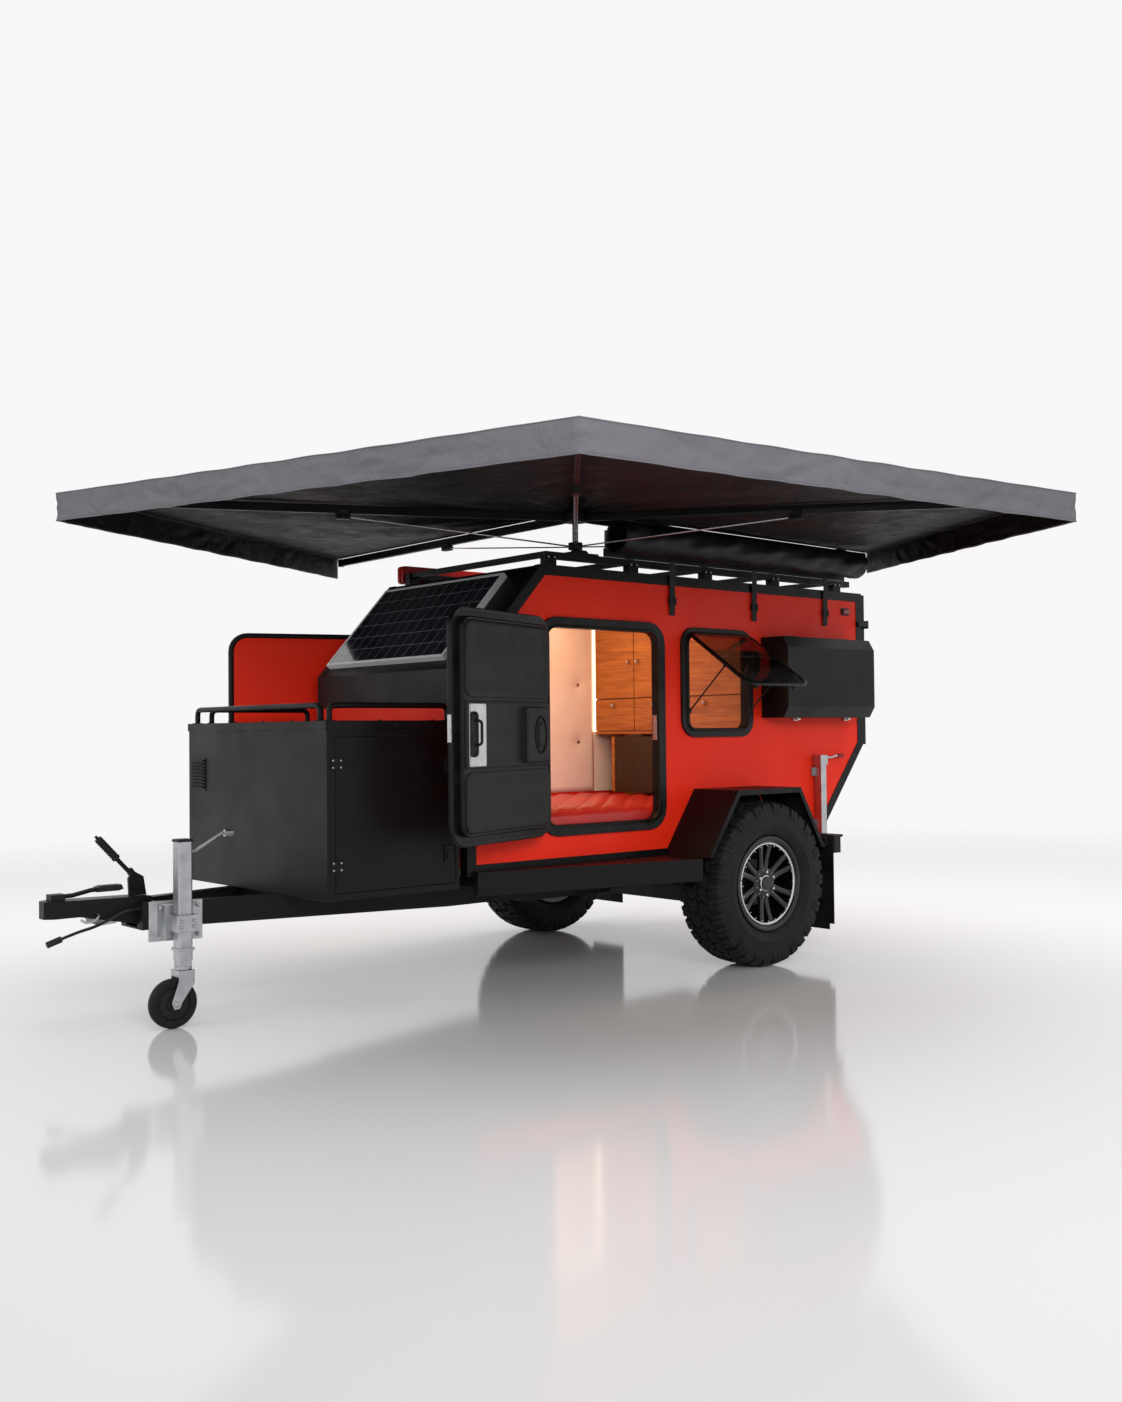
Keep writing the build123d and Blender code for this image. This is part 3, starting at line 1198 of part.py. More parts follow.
def build():
    """Writes each piece to parts/NODE.step, moved so that the ball socket's centre is the origin."""
    os.makedirs("parts", exist_ok=True)
    left, right = wheel_place(1), wheel_place(-1)
    turn = Rot(0, 0, 180)
    nodes = {
        "chassis_frame": chassis_frame(),
        "torsion_axle": axle(),
        "tyre_left": left * tyre(),
        "tyre_right": right * turn * tyre(),
        "rim_left": left * rim(),
        "rim_right": right * turn * rim(),
        "brake_drum_left": left * hub_drum(),
        "brake_drum_right": right * turn * hub_drum(),
        "coupling_head": coupling_head(),
        "coupling_handle": coupling_handle(),
        "handbrake_lever": handbrake(),
        "jack_clamp": jack_clamp(),
        "jack_tube": jack_tube(),
        "jack_leg": jack_leg(),
        "jack_fork": jack_fork(),
        "jockey_wheel": jockey_wheel(),
        "locker_shell": locker_shell(),
        "locker_doors": both_sides(locker_door()),
        "locker_rails": one_node(locker_rails()),
        "floor_panel": floor_panel(),
        "wall_left": cabin_wall(),
        "wall_right": mirrored(cabin_wall()),
        "roof_panel": roof_panel(),
        "slope_panel": slope_panel(),
        "front_wall": front_wall(),
        "tail_panel": tail_panel(),
        "edge_trims": both_sides(edge_trim()),
        "rear_hatch": rear_hatch(),
        "door_frames": both_sides(door_frame()),
        "door_left": door_open(),
        "door_right": mirrored(door_open()),
        "window_frames": both_sides(window_frame()),
        "window_pane_left": window_pane(),
        "window_pane_right": mirrored(window_pane_shut()),
        "window_stays": one_node(window_stays()),
        "solar_panel": solar_panel(),
        "wings": both_sides(wing()),
        "steps": both_sides(step()),
        "mud_flaps": both_sides(mud_flap()),
        "tail_lamps": both_sides(tail_lamp()),
        "stabiliser_tubes": both_sides(stabiliser_tube()),
        "stabiliser_leg_left": stabiliser_leg(),
        "stabiliser_leg_right": mirrored(stabiliser_leg()),
        "side_box": side_box(),
        "side_box_lid": side_box_lid(),
        "roof_rack": one_node(roof_rack()),
        "recovery_boards": one_node(recovery_boards()),
        "awning_hub": awning_hub(),
        "awning_arms": one_node(awning_arms()),
        "awning_struts": one_node(awning_struts()),
        "awning_canopy": canopy(),
        "awning_bag": awning_bag(),
        "awning_rail": awning_rail(),
        "bag_straps": one_node(bag_straps()),
        "bed_base": bed_base(),
        "mattress": mattress(),
        "cupboards": cupboards(),
        "water_tank": water_tank(),
        "trailer_lead": trailer_lead(),
        "lead_plug": lead_plug(),
    }
    for name, shape in nodes.items():
        export_step(Pos(-SOCKET_X, 0, -SOCKET_Z) * shape, f"parts/{name}.step")


build()
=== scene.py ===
"""Squaredrop camper trailer with its doors and awning open: finishes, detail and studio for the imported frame.

Sizes are written in millimetres from the middle of the wheel line on the ground, +X forward, +Y left, +Z up.
"""
import bpy
import bmesh
import numpy as np
from mathutils import Matrix
from math import atan2, cos, pi, radians, sin


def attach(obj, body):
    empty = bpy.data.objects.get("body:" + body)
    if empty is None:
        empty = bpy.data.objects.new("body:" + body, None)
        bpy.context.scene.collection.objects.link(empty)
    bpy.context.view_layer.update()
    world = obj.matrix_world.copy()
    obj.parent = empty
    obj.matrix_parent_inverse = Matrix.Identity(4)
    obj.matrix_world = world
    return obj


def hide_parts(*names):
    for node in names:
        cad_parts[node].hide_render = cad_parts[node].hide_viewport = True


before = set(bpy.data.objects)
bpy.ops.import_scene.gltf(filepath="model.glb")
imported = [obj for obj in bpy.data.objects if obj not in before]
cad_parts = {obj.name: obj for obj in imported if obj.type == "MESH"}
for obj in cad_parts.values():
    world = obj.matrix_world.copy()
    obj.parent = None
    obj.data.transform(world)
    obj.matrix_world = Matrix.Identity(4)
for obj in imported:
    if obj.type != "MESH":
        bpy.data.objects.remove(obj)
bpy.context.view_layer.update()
scene = bpy.context.scene
scene.view_settings.view_transform = "Standard"


# Camera. It stands off the front left corner, 1.15 m above the floor, and looks level along the side.
viewpoint = bpy.data.objects.new("viewpoint", bpy.data.cameras.new("viewpoint"))
viewpoint.data.lens = 35.225
viewpoint.data.clip_end = 300
yaw, pitch, roll = np.radians((139.31, -1.284, -0.551))
back = np.array((sin(yaw) * cos(pitch), -cos(yaw) * cos(pitch), sin(pitch)))
right = np.cross(-back, (0, 0, 1))
right /= np.linalg.norm(right)
up = np.cross(right, -back)
place = np.eye(4)
place[:3, 0] = right * cos(roll) + up * sin(roll)
place[:3, 1] = up * cos(roll) - right * sin(roll)
place[:3, 2] = back
# where it stands, in metres in the row frame
place[:3, 3] = (1.996, 5.335, 0.680)
viewpoint.matrix_world = Matrix(place.tolist())
scene.collection.objects.link(viewpoint)
scene.camera = viewpoint


# Trailer lead. A short PVC sheathed cable leaves a grommet in the drawbar's left rail and hangs forward
# to its moulded seven-pin plug, which stays unplugged above the floor.
def linear(colour):
    """An sRGB hex colour as linear RGBA: the low part is divided by 12.92, the rest is a 2.4 power curve."""
    srgb = np.array([int(colour[i:i + 2], 16) for i in (1, 3, 5)]) / 255
    return (*np.where(srgb < 0.04045, srgb / 12.92, ((srgb + 0.055) / 1.055) ** 2.4), 1.0)


def add(tree, kind, sockets=(), **settings):
    """Adds one shader node. Sockets pairs an input with a value, or with the node or output that feeds it."""
    node = tree.nodes.new("ShaderNode" + kind)
    for name, value in settings.items():
        setattr(node, name, value)
    for name, value in dict(sockets).items():
        if isinstance(value, bpy.types.Node):
            value = value.outputs[0]
        if isinstance(value, bpy.types.NodeSocket):
            tree.links.new(value, node.inputs[name])
        else:
            node.inputs[name].default_value = value
    return node


def new_material(name):
    """An empty material and its node tree."""
    material = bpy.data.materials.new(name)
    material.use_nodes = True
    material.node_tree.nodes.clear()
    return material, material.node_tree


def moulded(name, colour, rough, grain=1.6, depth=0.12, tint=0.25, sheen=0.22):
    """Moulded rubber or plastic: to the eye an even dark colour, a fine grain, and patches of dust and gloss.

    grain is the spacing of the mould's spark-eroded texture in mm, drawn as coarse as the picture can hold.
    """
    material, tree = new_material(name)
    place = add(tree, "TexCoord").outputs["Object"]
    grains = add(tree, "TexNoise", {"Vector": place, "Scale": 1000 / grain, "Detail": 2.0})
    patches = add(tree, "TexNoise", {"Vector": place, "Scale": 14.0, "Detail": 4.0})
    gloss = add(tree, "MapRange", {0: patches, 1: 0.3, 2: 0.7, 3: rough - 0.07, 4: rough + 0.09})
    dusty = add(tree, "MapRange", {0: patches, 1: 0.35, 2: 0.8, 3: 0.0, 4: tint})
    shade = add(tree, "Mix", {0: dusty, 6: linear(colour), 7: linear("#4c4a47")}, data_type="RGBA").outputs[2]
    bump = add(tree, "Bump", {"Height": grains, "Strength": depth, "Distance": 0.0006})
    shader = add(tree, "BsdfPrincipled", {"Base Color": shade, "Roughness": gloss, "Normal": bump,
                                          "Specular IOR Level": sheen})
    add(tree, "OutputMaterial", {0: shader})
    return material


ball_socket = (3130, 0, 470)


def row(points):
    """Millimetres from the wheel line on the ground, as metres from the ball socket's centre."""
    return (np.asarray(points, float) - ball_socket) / 1000


def soften(thing, edge):
    """Rounds the sharp edges of a thing by a bevel of so many mm."""
    bevel = thing.modifiers.new("edge radius", "BEVEL")
    bevel.width, bevel.segments, bevel.angle_limit = edge / 1000, 2, radians(35)
    bevel.limit_method, bevel.harden_normals = "ANGLE", True


def dress(node, material, edge=1.2):
    """Gives a kept CAD node its material, and rounds its sharp edges."""
    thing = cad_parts[node]
    for place in thing.material_slots:
        place.material = material
    if edge:
        thing.modifiers.new("joined corners", "WELD").merge_threshold = 0.00005
        soften(thing, edge)


lead_route = row([(2836, 80, 462), (2884, 80, 462), (2948, 74, 431), (3010, 66, 404), (3074, 61, 391),
                  (3136, 57, 370)])
lead_curve = bpy.data.curves.new("trailer_lead_cable", "CURVE")
lead_curve.dimensions = "3D"
lead_curve.bevel_depth, lead_curve.bevel_resolution, lead_curve.resolution_u = 0.006, 5, 24
run = lead_curve.splines.new("NURBS")
run.points.add(len(lead_route) - 1)
run.points.foreach_set("co", np.column_stack((lead_route, np.ones(len(lead_route)))).ravel())
run.order_u, run.use_endpoint_u = 3, True
lead = bpy.data.objects.new("trailer_lead_cable", lead_curve)
scene.collection.objects.link(lead)
# plasticised PVC: smooth, dark and a little shiny
lead_curve.materials.append(moulded("cable_pvc", "#101011", 0.42, grain=3))
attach(lead, "chassis")
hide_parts("trailer_lead")
# nylon filled with glass fibre: nearly black, with the dull gloss of an etched mould
black_plastic = moulded("glass_filled_nylon", "#0e0e0e", 0.46)
dress("lead_plug", black_plastic, 0.8)


# Chassis and axle. Welded box section, shot blasted and powder coated satin black after welding; the square
# torsion axle is bolted below it and its cast drums are left as they came from the foundry.
def powder_coat(name, colour, rough=0.4, peel=3.0, wear="#3a3835", shine=0.2):
    """Polyester powder baked on metal: to the eye an even colour, a slight orange peel, and duller patches.

    peel is the distance between the orange peel's crests in mm; the patches are about 250 mm across.
    """
    material, tree = new_material(name)
    place = add(tree, "TexCoord").outputs["Object"]
    peels = add(tree, "TexNoise", {"Vector": place, "Scale": 1000 / peel, "Detail": 1.0})
    patches = add(tree, "TexNoise", {"Vector": place, "Scale": 4.0, "Detail": 6.0, "Roughness": 0.6})
    gloss = add(tree, "MapRange", {0: patches, 1: 0.35, 2: 0.68, 3: rough - 0.06, 4: rough + 0.12})
    dust = add(tree, "MapRange", {0: patches, 1: 0.5, 2: 0.8, 3: 0.0, 4: 0.07})
    shade = add(tree, "Mix", {0: dust, 6: linear(colour), 7: linear(wear)}, data_type="RGBA").outputs[2]
    bump = add(tree, "Bump", {"Height": peels, "Strength": 0.1, "Distance": 0.0005})
    shader = add(tree, "BsdfPrincipled", {"Base Color": shade, "Roughness": gloss, "Normal": bump,
                                          "Specular IOR Level": shine})
    add(tree, "OutputMaterial", {0: shader})
    return material


def bare_metal(name, colour, rough=0.35, grain=2.0, stretch=(1, 1, 1), patch=0.1):
    """Bare metal: to the eye cloudy patches of gloss and tone, and marks stretched along the brushing.

    grain is the marks' spacing in mm, and patch is how far the roughness swings to either side.
    """
    material, tree = new_material(name)
    place = add(tree, "TexCoord").outputs["Object"]
    laid = add(tree, "Mapping", {"Vector": place, "Scale": stretch})
    marks = add(tree, "TexNoise", {"Vector": laid, "Scale": 1000 / grain, "Detail": 3.0})
    clouds = add(tree, "TexNoise", {"Vector": place, "Scale": 22.0, "Detail": 4.0})
    gloss = add(tree, "MapRange", {0: clouds, 1: 0.3, 2: 0.7, 3: rough - patch, 4: rough + patch})
    deep = [c * 0.72 for c in linear(colour)[:3]] + [1.0]
    shade = add(tree, "Mix", {0: clouds, 6: linear(colour), 7: deep}, data_type="RGBA").outputs[2]
    bump = add(tree, "Bump", {"Height": marks, "Strength": 0.15, "Distance": 0.0004})
    shader = add(tree, "BsdfPrincipled", {"Base Color": shade, "Roughness": gloss, "Normal": bump,
                                          "Metallic": 1.0})
    add(tree, "OutputMaterial", {0: shader})
    return material


# satin black paint, and grey iron with the coarse skin of its sand mould
black_coat = powder_coat("satin_black_powder_coat", "#0c0c0d")
cast_iron = bare_metal("cast_iron", "#5a5552", 0.6, 4.0)
dress("chassis_frame", black_coat, 3)
dress("torsion_axle", black_coat, 2)
for node in ("brake_drum_left", "brake_drum_right"):
    dress(node, cast_iron, 2)
dress("water_tank", black_plastic, 12)


# Tyres. Mud-terrain tyres, 265 wide on 17 inch rims, cured in a segmented mould: staggered centre blocks,
# long and short shoulder lugs that run down the sidewall, and a bulged plain sidewall with one fine rib.
def skin(grid, around=False, along=False, caps=()):
    """Quads between neighbours in a grid; around or along joins its last column or row to the first."""
    n, m = grid.shape[:2]
    i, j = np.meshgrid(np.arange(n if along else n - 1), np.arange(m if around else m - 1), indexing="ij")
    nexti, nextj = (i + 1) % n, (j + 1) % m
    quads = np.stack((i * m + j, i * m + nextj, nexti * m + nextj, nexti * m + j), -1).reshape(-1, 4)
    return grid.reshape(-1, 3), [quads] + [np.arange(m)[None] + (k % n) * m for k in caps]


def join(*shapes):
    """Several shapes as one: their points are put end to end and each shape's faces are counted on."""
    points, faces, start = [], [], 0
    for shape in shapes:
        points.append(shape[0])
        faces += [block + start for block in shape[1]]
        start += len(shape[0])
    return np.concatenate(points), faces


def mirrored(shape):
    """The same shape on the trailer's other side: y changes its sign."""
    return shape[0] * (1, -1, 1), shape[1]


def both(shape):
    """A shape and its mirror image on the other side, as one."""
    return join(shape, mirrored(shape))


def placed(shape, x, y, z, side=1):
    """The shape moved to a place on the left, or the mirror image of that on the right when side is -1."""
    return (shape[0] + (x, y, z)) * (1, side, 1), shape[1]


def piece(name, shape, material, body="chassis", replaces=(), edge=0, smooth=35):
    """Puts a shape into a mesh in the row frame, turns its faces outwards and lets it ride on a body."""
    mesh = bpy.data.meshes.new(name)
    mesh.from_pydata(row(shape[0]).tolist(), [], [face for block in shape[1] for face in block.tolist()])
    shell = bmesh.new()
    shell.from_mesh(mesh)
    bmesh.ops.recalc_face_normals(shell, faces=shell.faces)
    shell.to_mesh(mesh)
    shell.free()
    mesh.shade_smooth()
    mesh.set_sharp_from_angle(angle=radians(smooth))
    mesh.materials.append(material)
    thing = bpy.data.objects.new(name, mesh)
    scene.collection.objects.link(thing)
    if edge:
        soften(thing, edge)
    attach(thing, body)
    if replaces:
        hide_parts(*replaces)
    return thing


wheel_y, wheel_z = 807.0, 401.5
pitches = 34
# one pitch round the tread: where each column of points stands, and whether it is on a block
column = np.array((0.0, 0.04, 0.09, 0.39, 0.41, 0.44, 0.46, 0.76, 0.81, 0.86))
raised = np.array((0.0, 0.0, 1.0, 1.0, 0.55, 0.55, 1.0, 1.0, 0.0, 0.0))
# one half of the section, from the crown to the bead: y, radius, block height, its lean in degrees, shift
section = np.array((
    (4.0, 389.0, 0.0, 0, 0.00), (6.0, 389.0, 12.3, 0, 0.00), (33.0, 388.6, 12.6, 0, 0.30),
    (58.0, 387.8, 12.6, 0, 0.02), (60.0, 387.6, 0.0, 0, 0.02), (67.0, 387.0, 0.0, 0, 0.52),
    (69.0, 386.8, 12.8, 0, 0.52), (98.0, 384.0, 13.4, 8, 0.60), (117.0, 377.0, 12.6, 30, 0.64),
    (124.0, 366.0, 8.4, 60, 0.66), (127.0, 352.0, 6.0, 78, 0.66), (129.0, 338.0, 4.6, 84, 0.66),
    (130.0, 333.0, 0.0, 90, 0.66), (132.2, 308.0, 0.0, 90, 0.66), (131.2, 286.0, 0.0, 90, 0.66),
    (130.2, 281.0, 1.6, 90, 0.66), (128.2, 275.0, 0.0, 90, 0.66), (121.0, 254.0, 0.0, 90, 0.66),
    (113.0, 242.0, 0.0, 90, 0.66), (106.0, 236.0, 0.0, 90, 0.66), (99.5, 231.0, 0.0, 90, 0.66),
    (98.0, 222.6, 0.0, 90, 0.66),
))
across = np.concatenate((section[::-1] * (-1, 1, 1, 1, 1) + (0, 0, 0, 0, 0.5), section))
pitch_place = (np.arange(pitches)[:, None] + column[None]) / pitches
high = np.tile(raised, pitches)
# every second shoulder lug is short: it stops above the sidewall
short = np.repeat(np.arange(pitches) % 2, len(column))
y, radius, height, lean, shift = across.T
lug = height[:, None] * np.where(height[:, None] == 1.6, 1.0, high[None])
lug *= np.where((np.abs(y) > 120)[:, None] & (height[:, None] > 2), 1.0 - 0.9 * short[None], 1.0)
side = np.sign(y)[:, None]
angle = 2 * pi * (pitch_place.ravel()[None] + side * shift[:, None] / pitches)
reach = radius[:, None] + lug * np.cos(np.radians(lean))[:, None]
out = y[:, None] + lug * np.sin(np.radians(lean))[:, None] * side
tread = np.stack((reach * np.cos(angle), out + 0 * angle, reach * np.sin(angle)), -1)
tyre_shape = skin(tread, around=True, along=True)
# rubber with carbon black: the darkest dull grey here, lifted by road dust on its coarse skin
tyre_rubber = moulded("carbon_black_tyre_rubber", "#111112", 0.62, grain=5, depth=0.35, tint=0.16)
for name, side in (("left", 1), ("right", -1)):
    piece(f"tyre_{name}_tread", placed(tyre_shape, 0, wheel_y, wheel_z, side), tyre_rubber,
          f"wheel_{name}", [f"tyre_{name}"], smooth=30)


# Rims. Low pressure cast aluminium in gloss black: six split spokes, a flange that covers the bead, a thin
# ring turned bright on the lathe, dummy bolts round it, six chromed nuts round the hub and a plain cap.
def turned(profile, sides=96):
    """A closed outline of (radius, y) points carried round the y axis."""
    profile = np.array(profile, float)
    a = np.arange(sides) * 2 * pi / sides
    r, y = profile[:, :1], profile[:, 1:]
    return skin(np.stack((r * np.cos(a), y + 0 * a, r * np.sin(a)), -1), around=True, along=True)


def domes(centres, normal, radius, height, sides=10):
    """Screw or rivet heads: two rings that shrink towards a closed top, one head at each centre."""
    normal = np.array(normal, float) / np.linalg.norm(normal)
    one = np.cross(normal, (0.31, 0.52, 0.8))
    one /= np.linalg.norm(one)
    two = np.cross(normal, one)
    a = np.arange(sides) * 2 * pi / sides
    ring = np.cos(a)[:, None] * one + np.sin(a)[:, None] * two
    steps = ((1, -0.3), (1, 0.45), (0.72, 0.88), (0.3, 1))
    stack = np.stack([ring * radius * wide + normal * height * high for wide, high in steps])
    return join(*[skin(stack + np.asarray(c, float), around=True, caps=(0, -1)) for c in centres])


def ring_of(count, radius, y, start=0.0):
    """Places spaced evenly on a circle round the y axis."""
    a = start + np.arange(count) * 2 * pi / count
    return np.column_stack((radius * np.cos(a), np.full(count, y), radius * np.sin(a)))


def rotated(shape, degrees, axes, about=(0, 0)):
    """The shape turned in the plane of two axes, u and v: u' = c u - s v and v' = s u + c v from a centre."""
    c, s = cos(radians(degrees)), sin(radians(degrees))
    points = shape[0].astype(float)
    u, v = [points[:, axis] - centre for axis, centre in zip(axes, about)]
    points[:, axes[0]], points[:, axes[1]] = about[0] + c * u - s * v, about[1] + s * u + c * v
    return points, shape[1]


rim_barrel = turned((
    (211, 104), (206, 96), (204, 60), (198, -30), (204, -100), (230, -106), (230, -111), (226, -111),
    (200, -106), (192, -32), (197, 60), (199, 98), (205, 106)))
rim_flange = turned((
    (204, 90), (230, 100), (230.5, 109), (227, 112), (220, 113), (212, 110),
    (206, 103), (200, 99), (200, 92)))
rim_lip = turned(((189, 94), (199, 93), (201, 99), (198, 101.5), (192, 101), (189, 98)))
# each spoke is a pair of bars that spread from the hub to the rim: half width, edge drop and face of one bar
bar_corners = ((-1, -20), (-1, -4), (-0.55, 0), (0.55, 0), (1, -4), (1, -20))
spoke = []
for lean in (-1, 1):
    run = np.linspace(0, 1, 7)
    middle = lean * (14 + 22 * run ** 1.4)
    half_wide = 15.5 - 2.5 * np.sin(run * pi)
    face = 77 + 17 * run ** 2
    spoke.append(skin(np.stack([np.column_stack((middle + across * half_wide, face + drop, 58 + run * 132))
                                for across, drop in bar_corners], 1), around=True, caps=(0, -1)))
hub_disc = turned(((10, 62), (70, 60), (76, 66), (76, 76), (70, 80), (44, 82), (40, 78), (10, 78)))
centre_cap = turned(((2, 78), (34, 78), (34, 92), (31, 95), (2, 96)), 48)
splash_disc = turned(((50, -40), (190, -46), (190, -50), (50, -44)), 64)
rim_face = join(rim_barrel, rim_flange, hub_disc, splash_disc,
                *[rotated(join(*spoke), -60 * k, (0, 2)) for k in range(6)])
outwards = (0, 1, 0)
rim_bolts = join(domes(ring_of(24, 183, 97), outwards, 3.6, 5.0),
                 domes(ring_of(12, 66, 82, pi / 12), outwards, 3.4, 4))
rim_nuts = join(domes(ring_of(6, 56, 84, pi / 6), outwards, 9.5, 13, 6),
                turned(((34.5, 80), (39, 80), (39, 86), (34.5, 88)), 48))
rim_valve = domes([(188, 96, 28)], (0, 1, 0.1), 4, 22, 8)
# lacquer over the paint: black that shows the floor and the lamps in its curves
gloss_black = powder_coat("gloss_black_lacquer", "#0b0b0c", 0.16, peel=8, shine=0.5)
# turned on a lathe: bright, with marks a third of a millimetre apart that are drawn coarser here
machined = bare_metal("lathe_turned_aluminium", "#d9dadb", 0.2, 1.5)
# plated steel: nearly a mirror
chrome = bare_metal("chromed_steel", "#dcdde0", 0.12, 6.0, patch=0.05)
for name, side in (("left", 1), ("right", -1)):
    for part, shape, finish, slot in (
        ("face", rim_face, gloss_black, "wheel_alloy"), ("lip", rim_lip, machined, "wheel_alloy"),
        ("cap", centre_cap, gloss_black, "wheel_alloy"), ("bolts", rim_bolts, machined, "wheel_alloy"),
        ("nuts", rim_nuts, chrome, "zinc_plate"), ("valve", rim_valve, tyre_rubber, "rubber"),
    ):
        piece(f"rim_{name}_{part}", placed(shape, 0, wheel_y, wheel_z, side), finish, f"wheel_{name}",
              [f"rim_{name}"] if part == "face" else ())


# Coupling. A pressed steel head is bolted through the drawbar's nose with two galvanised bolts; a moulded
# handle locks it, and a ratchet handbrake with a ribbed grip stands behind it on a laser-cut plate.
def carried(profile, path, up=(0, 0, 1), closed=False, ends=True):
    """A flat outline carried along a path: at each point it stands square to the way the path runs."""
    path, profile = np.asarray(path, float), np.asarray(profile, float)
    if closed:
        way = np.roll(path, -1, 0) - np.roll(path, 1, 0)
    else:
        way = np.gradient(path, axis=0)
    way /= np.linalg.norm(way, axis=1)[:, None]
    side = np.cross(way, np.asarray(up, float))
    side /= np.linalg.norm(side, axis=1)[:, None]
    top = np.cross(side, way)
    grid = path[:, None] + profile[None, :, :1] * side[:, None] + profile[None, :, 1:] * top[:, None]
    return skin(grid, around=True, along=closed, caps=(0, -1) if ends and not closed else ())


def circle(radius, sides=12):
    """A round outline."""
    a = np.arange(sides) * 2 * pi / sides
    return np.column_stack((np.cos(a), np.sin(a))) * radius


def bend(corners, radius, steps=5):
    """A line through corners, each rounded by a quadratic blend from one run to the next."""
    corners = np.asarray(corners, float)
    line = [corners[0]]
    for a, b, c in zip(corners, corners[1:], corners[2:]):
        before, after = (a - b) / np.linalg.norm(a - b), (c - b) / np.linalg.norm(c - b)
        t = np.linspace(0, 1, steps + 1)[:, None]
        enter, leave = b + before * radius, b + after * radius
        line += list((1 - t) ** 2 * enter + 2 * t * (1 - t) * b + t ** 2 * leave)
    return np.array(line + [corners[-1]])


def blocks(*boxes):
    """Boxes given as x0, x1, y0, y1, z0, z1."""
    shapes = []
    for x0, x1, y0, y1, z0, z1 in boxes:
        ring = np.array(((x0, y0), (x1, y0), (x1, y1), (x0, y1)), float)
        ends = np.stack([np.column_stack((ring, np.full(4, z))) for z in (z0, z1)])
        shapes.append(skin(ends, around=True, caps=(0, -1)))
    return join(*shapes)


def plate(outline, axis, start, end):
    """A flat outline given thickness along the x, y or z axis."""
    outline = np.asarray(outline, float)
    rings = [np.insert(outline, axis, value, axis=1) for value in (start, end)]
    return skin(np.stack(rings), around=True, caps=(0, -1))


# zinc from the bath: light grey with spangled patches of gloss
zinc = bare_metal("hot_dip_galvanised_steel", "#c3c6c9", 0.38, 5.0, patch=0.12)
dress("coupling_head", black_coat, 4)
dress("coupling_handle", black_plastic, 3)
x, z = 2812.0, 508.0
quadrant = plate([(x - 42, z), (x + 30, z), (x + 34, z + 70), (x + 8, z + 96), (x - 30, z + 74)], 1, -7, 7)
# the lever runs from foot to tip, and its grip swells and narrows nine times
foot, tip = np.array((x - 2, 0, z + 62)), np.array((x + 158, 0, z + 236))
lever_run = tip - foot
ribs = 9
rib_places = np.repeat(np.arange(ribs) * 0.05 + 0.55, 2) + np.tile((0, 0.025), ribs)
share = np.array((0.5, 0.51, 0.53, *rib_places, 0.99, 1.0))
swell = np.array((11, 15, 17, *np.tile((17.0, 14.2), ribs), 16, 9))
a = np.arange(14) * 2 * pi / 14
one = np.array((0, 1, 0))
two = np.cross(lever_run / np.linalg.norm(lever_run), one)
rings = (foot + share[:, None] * lever_run)[:, None] + swell[:, None, None] * (
    np.cos(a)[None, :, None] * one + np.sin(a)[None, :, None] * two)
grip = skin(rings, around=True, caps=(0, -1))
lever = carried(circle(9, 12), foot + np.linspace(0, 0.56, 6)[:, None] * lever_run, up=outwards)
button = carried(circle(6, 10), tip + np.linspace(-0.02, 0.05, 3)[:, None] * lever_run, up=outwards)
pawl = join(plate([(x + 2, z + 88), (x + 26, z + 76), (x + 40, z + 104), (x + 20, z + 112)], 1, -11, 11),
            domes([(x + dx, y, z + 30) for dx in (-14, 14) for y in (-8, 8)], outwards, 8, 8, 6))
piece("handbrake_lever_plate", join(quadrant, lever, pawl), black_coat,
      replaces=["handbrake_lever"], edge=1)
piece("handbrake_grip", join(grip, button), black_plastic)
rail_bolts = domes([(2700, 104, 462), (2790, 104, 462)], outwards, 13, 10, 6)
piece("coupling_bolts", both(rail_bolts), zinc)
hook_line = bend([(2990, 46, 452), (2990, 70, 448), (3010, 76, 430), (3046, 72, 424), (3060, 58, 436)], 10)
chain_plate = plate([(2900, 446), (3040, 446), (3030, 424), (2980, 404), (2912, 410)], 1, 40, 46)
piece("safety_chain_plate", join(chain_plate, carried(circle(5, 10), hook_line, up=(0.2, 0.1, 1))),
      zinc, edge=1)
# Jockey wheel. A galvanised square tube slides in a clamp that is bolted to the drawbar's left rail; a crank
# on its side winds the inner leg, and a solid rubber wheel swivels below in a pressed fork.
jack_x, jack_y = 2715.0, 222.0
for node in ("jack_clamp", "jack_tube", "jack_leg", "jack_fork"):
    dress(node, zinc, 2)
axle = (jack_x + 44, jack_y, 97)
jack_cap = placed(blocks((-32, 32, -32, 32, 728, 740)), jack_x, jack_y, 0)
piece("jack_cap", jack_cap, black_plastic, edge=4)
jack_fastenings = join(
    blocks((-34, 34, -34, 34, 300, 312), (-34, 34, -34, 34, 392, 404)),
    domes([(dx, 45, z) for dx in (-26, 26) for z in (398, 420)], outwards, 8, 8, 6),
    domes([(dx, -40, z) for dx in (-84, 76) for z in (352, 470)], outwards, 9, 9, 6),
    domes([(44, 35, 97)], outwards, 12, 9, 6))
piece("jack_fastenings", placed(jack_fastenings, jack_x, jack_y, 0), zinc, edge=1)
half_tread = ((10, 24), (20, 26), (34, 15), (62, 15), (66, 22), (88, 24), (95, 17), (97, 6))
# solid rubber: dull black, with dust in its coarse skin
rubber = moulded("black_rubber", "#0e0e0e", 0.58, grain=4, depth=0.2, tint=0.15)
piece("jockey_wheel_tyre", placed(turned([*half_tread, *[(r, -y) for r, y in half_tread[::-1]]], 64), *axle),
      rubber, "jockey", ["jockey_wheel"])
web = turned(((9, 25), (30, 25), (32, 18), (60, 16.5), (60, 14), (9, 14)), 48)
piece("jockey_wheel_web", placed(both(web), *axle), black_plastic, "jockey")
